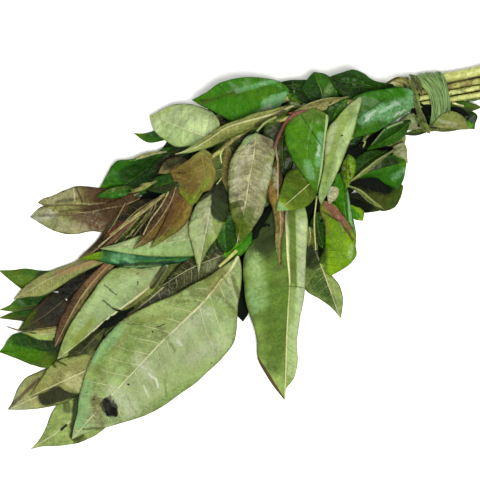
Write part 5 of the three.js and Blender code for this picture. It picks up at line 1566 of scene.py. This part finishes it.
# Name, midrib, widths, look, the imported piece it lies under, and changes to its lie. They are laid in this
# order, which also numbers their seeds.
LOOSE_LEAVES = [
    # Leaves deep in the pile, dark or dim all over: painted shade in the gaps under the leaves above.
    ("leaf_deep_1", [(-30, 2), (-50, -4), (-70, -12), (-92, -24)], (12, 9), DARK, "leaf_deep_green"),
    ("leaf_deep_2", [(-96, -2), (-118, -14), (-142, -28), (-164, -44)], (12, 11), DARK, "leaf_deep_green"),
    ("leaf_deep_3", [(-150, -40), (-170, -58), (-188, -74), (-206, -92)], (16, 12), DARK, "leaf_dark_fold"),
    ("leaf_deep_4", [(-100, -40), (-118, -60), (-134, -80), (-150, -104)], (16, 16), DIM, "leaf_deep_green"),
    ("leaf_deep_5", [(-86, -66), (-100, -90), (-110, -112), (-118, -136)], (9, 10), DARK, "leaf_deep_green"),
    ("leaf_deep_6", [(-20, -14), (-30, -30), (-40, -46), (-48, -62)], (12, 14), DARK, "leaf_hollow_right"),
    ("leaf_deep_7", [(-190, -92), (-208, -108), (-224, -124), (-240, -142)], (12, 12), DARK,
     "leaf_dark_fold"),
    ("leaf_deep_8", [(-190, -140), (-208, -156), (-222, -170), (-238, -186)], (11, 11), DIM,
     "leaf_black_left"),
    ("leaf_deep_9", [(-46, -28), (-58, -46), (-66, -62), (-74, -84)], (11, 13), DARK, "leaf_deep_green"),
    ("leaf_deep_10", [(-84, 2), (-96, -14), (-100, -32), (-98, -52)], (14, 14), DIM, "leaf_deep_green"),
    ("leaf_deep_11", [(-112, -14), (-128, -30), (-142, -46), (-158, -60)], (12, 12), DIM, "leaf_deep_green"),
    ("leaf_deep_12", [(-72, -58), (-77, -76), (-79, -92), (-80, -112)], (9, 8), DARK, "leaf_mid_olive"),
    ("leaf_deep_13", [(-176, -64), (-192, -80), (-206, -94), (-222, -106)], (12, 7),
     look("under", "moor dusk dusk shade", Rough=0.6, coat=0.0), "leaf_brown_left_high"),
    ("leaf_deep_14", [(-120, -84), (-128, -102), (-140, -116), (-160, -132)], (12, 14), DARK,
     "leaf_tan_crease"),
    ("leaf_deep_15", [(-104, -66), (-108, -78), (-112, -90), (-118, -104)], (6, 9), DARK, "leaf_deep_green"),
    ("leaf_deep_16", [(-216, -150), (-226, -160), (-234, -168), (-244, -176)], (6, 7),
     look("under", "moor moor dusk shade", Rough=0.6, coat=0.0, Ribs=0.2, Veins=0.2), "leaf_black_left"),
    ("leaf_deep_19", [(-78, -63), (-81, -68), (-83, -73), (-85, -79)], (3.5, 3.5), DARK,
     "leaf_long_two_tone"),
    ("leaf_deep_20", [(-75, -92), (-74, -98), (-73, -104), (-72, -110)], (2.6, 2.6), DARK, "leaf_lime_curl"),
    ("leaf_deep_18", [(-198, -138), (-206, -143), (-214, -147.5), (-223, -153)], (3.2, 3.2), DARK,
     "leaf_big_pale"),
    ("leaf_deep_17", [(-112, -124), (-114, -133), (-116, -142), (-118, -151)], (4, 3.0), DIM,
     "leaf_deep_green"),
    # Leaves along the top.
    ("leaf_top_1", [(-44, 4), (-62, 8), (-80, 9), (-99, 9)], (8, 3.5), PINE, "leaf_up_green"),
    ("leaf_top_2", [(-14, 6), (-34, 7), (-54, 8), (-76, 6)], (9, 3.5), PINE, "leaf_up_green"),
    ("leaf_top_3", [(-40, 8), (-50, 10), (-60, 11), (-68, 14)], (4, 4), PINE, "leaf_glossy_right"),
    ("leaf_top_lime", [(-86, -3), (-90, -1), (-93, 1), (-97, 3)], (2.8, 3.2),
     look("upper", "moss fern lime fern"), "leaf_glossy_top"),
    ("leaf_top_pale", [(-84, -5), (-88, -4.5), (-91, -4), (-95, -2)], (2.6, 2.4),
     look("under", "leek mist mist leek"), "leaf_glossy_fold"),
    ("leaf_behind_fold", [(-57, -0.5), (-64, -7), (-68.8, -19)],
     ([(-58, -6), (-63, -12)], [(-63, 0), (-70.5, -5), (-70.3, -12)]), look("upper", "fern pine pine vivid"),
     "leaf_glossy_fold"),
    ("leaf_olive_strip_top", [(-56, 1), (-67, -1.5), (-79, -4.5), (-93, -9)], (2.9, 2.6),
     look("young", "khaki olive khaki leek", Ribs=0.3, Rim="cream", Rims=0.6), "leaf_glossy_fold"),
    ("leaf_under_edge", [(-92, -4), (-102, -10), (-109, -14), (-117, -19)], (4.5, 3),
     look("upper", "moss fern pine moss"), "leaf_tan_centre"),
    ("leaf_green_edge", [(-194, -57), (-204, -60), (-214, -62), (-224, -64.5)], (4.5, 3.5),
     look("upper", "emerald meadow fern shade", Ribs=0.3), None, dict(arch=1.4, sag=0.0)),
    ("leaf_back_corner", [(-128, -16), (-136, -16), (-142, -15), (-150, -13)], (6, 6),
     look("under", "dusk shade dusk shade"), "leaf_pale_top_left"),
    ("leaf_teal_back", [(-146, -30), (-160, -35), (-176, -42), (-192, -52)], (8, 7),
     look("upper", "ink shade pine ink"), "leaf_pale_top_left"),
    # Leaves and scraps round the tie.
    ("leaf_tie_1", [(-8, 4), (-16, 2), (-25, 0), (-34, -4)], (9, 5), look("upper", "pine pine fern ink"),
     "leaf_deep_green"),
    ("leaf_tie_2", [(-4, -14), (-13, -15), (-22, -15)],
     ([(-6, -20), (-13, -20.3), (-19, -19.5)], [(-8, -9), (-14, -9), (-19, -11.5)]),
     look("under", "sage mist sage olive", Ribs=0.2), "leaf_glossy_right"),
    ("leaf_tie_dark", [(2, -20), (-7, -21), (-12, -22), (-19, -23)], (2.0, 1.8),
     look("upper", "shade dusk shade ink"), "leaf_glossy_right"),
    ("leaf_tie_under", [(8, -4), (16, -4.5), (24, -5), (33, -5)], (3.4, 3.2),
     look("upper", "meadow moor dusk ink", Rough=0.6, coat=0.0), "leaf_deep_green"),
    ("leaf_tie_scrap", [(12, -2.5), (15, -3), (18, -4), (21, -4.5)], (0.9, 1.0),
     look("under", "cream khaki cream khaki", Ribs=0.0), "tie_tail"),
    # leaf_tie_gap and leaf_tie_black here, and leaf_tie_hole and leaf_tie_base below, are near black all
    # over: painted shade in the gaps round the tie.
    ("leaf_tie_gap", [(-17, -4), (-12, -8), (-7, -12), (-2, -17)], (4.5, 4.5), DARK, "leaf_deep_green"),
    ("leaf_tie_black", [(4, -4), (10, -8), (18, -9), (25, -10)], (3.5, 3.5), DARK, "tie_tail"),
    ("leaf_strand_end", [(-31.5, 10), (-25, 13), (-19, 12), (-14, 6)], (1.8, 2.6),
     look("young", "olive khaki grass dusk", [("umber", (-31, 12), (-24, 14), 0.4, 1.2, 1, 0.7)], Ribs=0.0),
     None, dict(arch=0.4)),
    ("leaf_strand_turn", [(-17, 13), (-13, 6), (-11, -3), (-7, -14)], (2.0, 1.8),
     look("under", "grass moor dusk olive", Ribs=0.0), None),
    ("leaf_strand_tail", [(-12, -12), (-8, -16), (-4, -20), (-2, -23)], (2.6, 2.6),
     look("under", "grass dusk olive dusk", Ribs=0.0), None),
    ("leaf_tie_hole", [(-10, -2), (-6, -4.5), (-2, -7.5), (2, -11)], (3.5, 3.5), DARK, "leaf_deep_green"),
    ("leaf_tie_top", [(-16, 16.4), (-13, 13.5), (-10, 9), (-7.5, 3)], (2.6, 2.6),
     look("under", "meadow moor dusk grass", Ribs=0.0, Rims=0.6), None, dict(stalk=1.0, widest=0.35)),
    ("leaf_tie_base", [(-10, -17), (-3, -17.8), (4, -18.3), (11, -18.6)], (1.7, 1.7), DARK, "tie_tail"),
    # The right side, below the tie.
    ("leaf_grey_tip", [(-18, -20), (-24, -27), (-34, -30.5)],
     ([(-17.8, -27), (-20, -31), (-27, -31)], [(-21, -20), (-27, -25.5)]),
     look("under", "olive leek sage olive", Ribs=0.3), "leaf_dark_right"),
    ("leaf_tan_triangle", [(-20, -28), (-18.5, -35), (-16.5, -42.5)],
     ([(-17.6, -31), (-17, -38)], [(-26, -31), (-27, -35), (-20, -39)]),
     look("under", "khaki sage khaki sage", Ribs=0.1), "leaf_dark_right"),
    ("leaf_right_mid", [(-30, -34), (-42, -40), (-55, -52)],
     ([(-34, -41), (-44, -48.5)], [(-42, -34), (-53, -41)]), look("upper", "forest pine shade shade"),
     "leaf_dark_right"),
    ("leaf_edge_right", [(-25, -33), (-33, -38.5), (-44, -47), (-57, -56)], (1.6, 1.7),
     look("under", "dusk leek olive dusk", Ribs=0.25), None, dict(arch=0.8)),
    ("leaf_hollow_lip", [(-57.5, -57), (-49, -60.5), (-42, -66.5), (-32, -73)], (1.5, 1.9),
     look("under", "leek dusk olive leek", Ribs=0.0), "leaf_vivid_right"),
    # Near black all over: painted shade inside the curled leaf.
    ("leaf_hollow_low", [(-58, -64), (-46, -68), (-35, -74)],
     ([(-48, -62.5), (-40, -68)], [(-56, -71), (-47, -75)]), look("buried", "shade ink dusk shade"),
     "leaf_hollow_right"),
    ("leaf_lime_tip", [(-57, -69), (-51, -74), (-46, -80.5)],
     ([(-51, -71), (-46, -73)], [(-56, -75), (-52, -79.5)]), look("upper", "lime vivid lime fern"),
     "leaf_glossy_narrow"),
    ("leaf_lime_specks", [(-56, -36), (-57, -46), (-57, -59)],
     ([(-52, -39), (-51.5, -48), (-54.5, -55)], [(-60, -42), (-61, -51)]),
     look("upper", "lime moss chartreuse dusk", [("soot", (-56, -44), (-55, -52), 0.3, 0.6, 4, 0.8)]),
     "leaf_pale_fold"),
    ("leaf_grey_scrap", [(-66, -57), (-66.5, -63), (-69, -69.5)],
     ([(-62.5, -59), (-64, -66)], [(-70, -58), (-70, -66)]), look("under", "tan linen tan slate"),
     "leaf_pale_fold"),
    ("leaf_under_lime", [(-77, -74), (-76, -86), (-72, -100)],
     ([(-70, -78), (-68, -90)], [(-81, -80), (-80, -92)]), look("upper", "pine shade fern shade"),
     "leaf_lime_curl"),
    ("leaf_olive_small", [(-82, -84), (-81, -91), (-82.5, -98)],
     ([(-78, -88), (-78, -94)], [(-85, -88), (-85, -95)]), look("under", "moss olive moss olive"),
     "leaf_long_two_tone"),
    # The middle.
    ("leaf_green_centre", [(-120, -87), (-127, -95), (-133, -100), (-139.5, -104.5)],
     ([(-120, -94), (-124, -101), (-131, -105)], [(-126, -88), (-132, -95), (-137, -99)]),
     look("upper", "vivid bright bright fern"), "leaf_long_two_tone"),
    ("leaf_centre_dark", [(-135, -70), (-138, -85), (-137, -102)],
     ([(-129, -78), (-129, -90), (-132, -98)], [(-142, -78), (-144, -90), (-141, -99)]),
     look("upper", "pine fern pine ink"), "leaf_big_pale"),
    ("leaf_moss_strip", [(-136, -24), (-139, -40), (-141, -54), (-142, -72)], (8, 8),
     look("under", "drab meadow moss moor", Ribs=0.0), "leaf_grey_green"),
    # The left side.
    ("leaf_shadow_round", [(-164, -48), (-174, -55), (-190, -60)],
     ([(-166, -56), (-174, -62), (-184, -62)], [(-168, -47.5), (-177, -49.5), (-186, -54)]),
     look("upper", "shade pine shade ink"), "leaf_olive_tan"),
    ("leaf_tan_back", [(-163, -40), (-172, -45), (-182, -49.5)],
     ([(-166, -46), (-175, -49.5)], [(-167, -38.5), (-178, -41.5)]),
     look("young", "sand moor sand moor", Ribs=0.0), "leaf_olive_tan"),
    ("leaf_tan_sliver", [(-176, -34.5), (-186, -36), (-193, -38), (-202, -41)], (1.2, 1.6),
     look("under", "tan khaki khaki tan", Ribs=0.1), "leaf_olive_tan"),
    ("leaf_khaki_sliver", [(-182, -54), (-190, -57.5), (-196, -59.5), (-204, -62)], (2.2, 2.4),
     look("under", "olive khaki khaki dusk", Ribs=0.1), "leaf_olive_tan"),
    ("leaf_slender_tan", [(-204, -68), (-213, -84), (-221, -95), (-238, -108)], (4, 2.8),
     look("young", "clay moor sand moor"), "leaf_slender_plum"),
    ("leaf_slender_rose", [(-188, -73), (-200, -81), (-209, -90), (-220, -99)], (2.6, 2.2),
     look("young", "rose plum clay plum", Ribs=0.5), "leaf_sea_green"),
    ("leaf_khaki_left", [(-240, -152), (-255, -156), (-273, -155)],
     ([(-248, -159), (-260, -160)], [(-246, -150.5), (-260, -152.5)]), look("under", "leek khaki olive dusk"),
     "leaf_black_left"),
    ("leaf_two_tips_low", [(-238, -146), (-256, -144), (-272, -143.5), (-289, -145.5)],
     ([(-250, -151), (-266, -148), (-276, -147)], [(-256, -139), (-272, -140.5), (-281, -142)]),
     look("upper", "moor pine moss ink"), "leaf_black_left"),
    ("leaf_tail_edge", [(-4, -19.5), (4, -20), (12, -19.6), (21, -19)], (1.4, 1.5),
     look("under", "olive dusk olive dusk", Ribs=0.0), "tie_tail"),
]
for number, (name, spine, widths, given, under, *shape) in enumerate(LOOSE_LEAVES):
    loose_leaf(name, spine, widths, given, LOOSE_SEED + number, under, **dict(*shape))


def twig(name, plan, radii, bark, seed):
    """A thin stalk that follows what lies under it. radii stand at even steps along it."""
    plan = np.array(plan, float)
    count = max(5, int(lengths(plan)[-1] / TWIG_STEP))
    line = evenly(plan, count)
    below = tree_of(LAID)
    lowest = np.array([room_at(below, None, x, y)[0] for x, y in line]) + max(radii)
    height = lowest.copy()
    for _ in range(TWIG_ROUNDS):
        padded = np.pad(height, 1, mode="edge")
        height = np.maximum(lowest, (padded[:-2] + padded[2:]) / 2 - TWIG_SAG)
    path = np.concatenate([line, height[:, None]], 1)
    radii = np.interp(np.linspace(0, 1, count), np.linspace(0, 1, len(radii)), radii)
    stalk = rod(name, path, radii, [BARKS[bark]], seed, TWIG_SIDES)


TWIGS = [
    ("twig_red", [(-84, -8.3), (-92, -10.5), (-98, -16), (-102, -24), (-105.5, -33)], (0.8, 0.9, 0.9), "red"),
    ("twig_red_low", [(-88, -9.5), (-94, -13), (-99, -19), (-102.5, -26), (-104, -31)],
     (0.7, 0.8, 0.7), "red"),
    ("twig_red_side", [(-96, -10), (-92.5, -9.8), (-89, -9.8)], (0.7, 0.8, 0.8), "red"),
    ("stalk_fan_1", [(-175, -61.5), (-179, -69), (-187, -80), (-192, -90)], (0.6, 0.55, 0.45), "rosy"),
    ("stalk_fan_2", [(-183, -67.5), (-185, -74), (-192, -82), (-199, -91)], (0.6, 0.55, 0.45), "rosy"),
    ("stalk_fan_3", [(-187, -70.5), (-191, -78), (-198, -86), (-204, -92)], (0.55, 0.5, 0.4), "green"),
    ("stalk_fan_4", [(-191, -73.5), (-198, -82), (-205, -89), (-211, -95)], (0.55, 0.5, 0.4), "green"),
    ("stalk_fan_5", [(-180, -65.5), (-192, -75), (-206, -85), (-222, -98)], (0.7, 0.6, 0.5), "rosy"),
    ("stalk_fan_6", [(-185, -69), (-188, -75.5), (-196, -84), (-202, -91)], (0.55, 0.5, 0.4), "rosy"),
    ("stalk_drop", [(-139, -33), (-140.8, -37), (-140, -43)], (0.7, 0.6, 0.4), "pale"),
    ("stalk_drop_low", [(-140, -52), (-141.5, -54), (-143.5, -56.5)], (0.5, 0.5, 0.4), "pale"),
    ("stalk_tan", [(-104, -12.5), (-111, -16), (-117, -22)], (0.9, 0.8, 0.8), "twig"),
    ("stalk_big_second", [(-130, -100), (-135, -105), (-142, -111)], (1.3, 1.3, 1.0), "pale"),
    ("stalk_mid_olive", [(-77, -64), (-78.6, -80), (-77.7, -100)], (0.6, 0.6, 0.6), "pale"),
    ("stalk_blush", [(-104.5, -31), (-104, -36), (-103, -41)], (0.7, 0.7, 0.7), "rosy"),
    ("stalk_left", [(-283, -151), (-275, -153.5), (-262, -152.5), (-250, -151)], (0.4, 0.6, 0.7), "dark"),
]
for number, (name, plan, radii, bark) in enumerate(TWIGS):
    twig(name, plan, radii, bark, TWIG_SEED + number)


# ---- The tie ----
def strap_material(name, light, dark, dry):
    """A torn strip of leaf: fibres along it, dark slits and dry patches."""
    material, tree, sockets = new_material(name)
    round_it, over, _ = tree.attribute("strap")
    place = tree.place()
    stretched = tree.add("ShaderNodeCombineXYZ", tree.times(round_it, 0.05), over, 0.0)
    fibres = tree.noise(stretched, 1.6, 4.0, 0.65)
    slits = tree.noise(stretched, 0.6, 1.0, 0.4)
    patches = tree.noise(place, 0.09, 2.0)
    tone = tree.mix(tree.ramp(fibres, 0.35, 0.7), TONES[dark], TONES[light])
    tone = tree.mix(tree.times(tree.ramp(patches, 0.5, 0.7), 0.6), tone, TONES[dry])
    # Dark slits: painted shade where the strip is split.
    slit = tree.ramp(tree.math("ABSOLUTE", tree.less(slits, 0.5)), 0.018, 0.006)
    slit = tree.times(slit, tree.ramp(patches, 0.35, 0.5))
    tone = tree.mix(tree.times(slit, 0.85), tone, TONES["ink"])
    roughness = tree.value(fibres, 0.52, 0.2)
    relief = tree.less(tree.times(fibres, 0.9), tree.times(slit, 0.6))
    dress(tree, sockets, tone, roughness, tree.bump(relief))
    return material


BUNDLE_SLANT = 0.18  # the stems run this much towards +Y for each mm towards +X
TIE_HALF_SPAN, TIE_HEIGHT = 18.6, 17.2  # outside the wide band
TIE_SQUARENESS = 0.65  # 1 is an ellipse, and less is squarer
STRIP_THICKNESS = 0.42
TIE_STEPS, STRIP_COLUMNS = 150, 14
FIBRE_LENGTH = 18  # of fibres round the tie, for each radian


def wrap(name, node, strips, shift_at, material):
    """Strips of leaf wound round the bundle as one piece. A strip is (middle, width, inset, sway, turn)."""
    points, faces, strap = [], [], []
    angle = np.linspace(0, 2 * np.pi, TIE_STEPS, endpoint=False)
    across = np.linspace(-1, 1, STRIP_COLUMNS + 1)
    edge = np.abs(across) ** 6
    skin_points = TIE_STEPS * (STRIP_COLUMNS + 1)

    def square(value):
        return np.sign(value) * np.abs(value) ** TIE_SQUARENESS

    for middle, width, inset, sway, turn in strips:
        for inner in (False, True):
            depth = inset + (STRIP_THICKNESS if inner else 0.0) * (1 - 0.8 * edge) + 0.25 * edge
            depth = depth[None] - 0.16 * np.cos(across * 7 + turn)[None] * (1 - edge)
            depth = depth + 0.14 * np.sin(3 * angle + turn)[:, None]
            y = square(np.cos(angle))[:, None] * (TIE_HALF_SPAN - depth)
            z = TIE_HEIGHT / 2 + square(np.sin(angle))[:, None] * (TIE_HEIGHT / 2 - depth)
            wander = sway * np.sin(angle + turn) + 0.35 * np.sin(4 * angle + 2 * turn)
            narrowing = 1 + 0.07 * np.sin(2 * angle + turn)[:, None]
            spread = 1 + 0.3 * ramp(y, 0, TIE_HALF_SPAN)
            x = shift_at(y) + middle * spread + wander[:, None]
            x = x + across[None] * width / 2 * narrowing * spread
            index = np.arange(skin_points).reshape(TIE_STEPS, -1) + skin_points * len(points)
            index = np.concatenate([index, index[:1]])
            points.append(np.stack([x, y + BUNDLE_SLANT * x, z], -1).reshape(-1, 3))
            faces.append(grid_faces(index) if inner else grid_faces(index)[:, ::-1])
            over = np.broadcast_to((middle + across * width / 2)[None], x.shape)
            around = np.broadcast_to(angle[:, None] * FIBRE_LENGTH, x.shape)
            strap.append(np.stack([around, over, np.full(x.shape, float(inner))], -1).reshape(-1, 3))
            if inner:
                outer = index - skin_points
                for pair in ((outer[:, 0], index[:, 0]), (index[:, -1], outer[:, -1])):
                    faces.append(grid_faces(np.stack(pair, 1)))
    points, faces, strap = (np.concatenate(blocks) for blocks in (points, faces, strap))
    count = len(faces)
    made = add_mesh(name, points, faces.tolist(), [material], [0] * count, [False] * count, {"strap": strap})
    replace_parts(made, node)


def band_shift(y):
    """Where the wide band's middle is along X: it bends back towards -X on its +Y side."""
    return 4.9 - 0.017 * np.maximum(0, y + 6) ** 2


def strand_shift(y):
    """Where the narrow turn's middle is along X: it slants, further towards -X on its +Y side."""
    return -12 - 0.4 * y


BAND_STRIPS = [(-3.9, 6.4, 0.55, 0.5, 0.4), (3.9, 6.6, 0.5, 0.4, 2.1), (0.2, 6.8, 0.05, 0.9, 4.0)]
STRAND_STRIPS = [(-0.9, 2.6, 0.55, 0.3, 1.0), (0.9, 2.6, 0.35, 0.4, 3.0)]
wrap("band_wraps", "tie_band", BAND_STRIPS, band_shift,
     strap_material("strap_green", "strap", "strap_dark", "strap"))
wrap("strand_wraps", "tie_strand", STRAND_STRIPS, strand_shift,
     strap_material("strap_olive", "olive", "meadow", "strap"))

# ---- Stage: floor, lights and camera, in metres unless a name says otherwise ----
VIEW_CENTRE = (-128.0, -93.33)  # layout millimetres, as are the next three sizes
VIEW_WIDTH = 320.0
VIEW_DISTANCE = 2500.0
SENSOR = 36.0
FLOOR_HALF, FLOOR_HEIGHT = 6.0, -0.0004  # just under the lowest leaves
FLOOR_TONES = ((0.94, 0.94, 0.93, 1), (0.97, 0.97, 0.96, 1))
SKY_TONE, SKY_STRENGTH = (0.97, 0.98, 1.0, 1.0), 0.56
LIGHTS = [  # name, place, breadth, power and tint
    ("key", (0.24, -0.3, 1.76), 0.7, 42, (1.0, 0.99, 0.95)),
    ("fill", (-0.5, 0.9, 1.5), 1.2, 7, (0.97, 0.98, 1.0)),
]
GAMMA = 0.88


def make_floor():
    mesh = bpy.data.meshes.new("floor")
    signs = ((-1, -1), (1, -1), (1, 1), (-1, 1))
    corners = [(FLOOR_HALF * x, FLOOR_HALF * y, FLOOR_HEIGHT) for x, y in signs]
    mesh.from_pydata(corners, [], [(0, 1, 2, 3)])
    floor = bpy.data.objects.new("floor", mesh)
    bpy.context.scene.collection.objects.link(floor)
    material, tree, sockets = new_material("floor_paper")
    grain = tree.noise(tree.place(), 0.4, 2.0)
    tree.feed(sockets["Base Color"], tree.mix(grain, *FLOOR_TONES))
    sockets["Roughness"].default_value = 0.8
    mesh.materials.append(material)


def soft_light(name, place, breadth, power, tint):
    """A round light that shines at the frame's origin."""
    data = bpy.data.lights.new(name, "AREA")
    data.shape, data.size, data.energy, data.color = "DISK", breadth, power, tint
    light = bpy.data.objects.new(name, data)
    light.location = place
    light.rotation_mode = "QUATERNION"
    light.rotation_quaternion = (-Vector(place)).to_track_quat("-Z", "Y")
    bpy.context.scene.collection.objects.link(light)


def make_world():
    world = bpy.data.worlds.new("studio")
    world.use_nodes = True
    background = world.node_tree.nodes["Background"].inputs
    background["Color"].default_value = SKY_TONE
    background["Strength"].default_value = SKY_STRENGTH
    bpy.context.scene.world = world


def make_camera():
    data = bpy.data.cameras.new("camera")
    data.sensor_width = SENSOR
    data.lens = SENSOR * VIEW_DISTANCE / VIEW_WIDTH
    data.clip_start, data.clip_end = 0.1, 20.0
    camera = bpy.data.objects.new("camera", data)
    camera.location = Vector(to_frame((*VIEW_CENTRE, VIEW_DISTANCE)))
    bpy.context.scene.collection.objects.link(camera)
    bpy.context.scene.camera = camera


make_floor()
make_world()
for light in LIGHTS:
    soft_light(*light)
make_camera()
bpy.context.scene.view_settings.view_transform = "Standard"
bpy.context.scene.view_settings.gamma = GAMMA
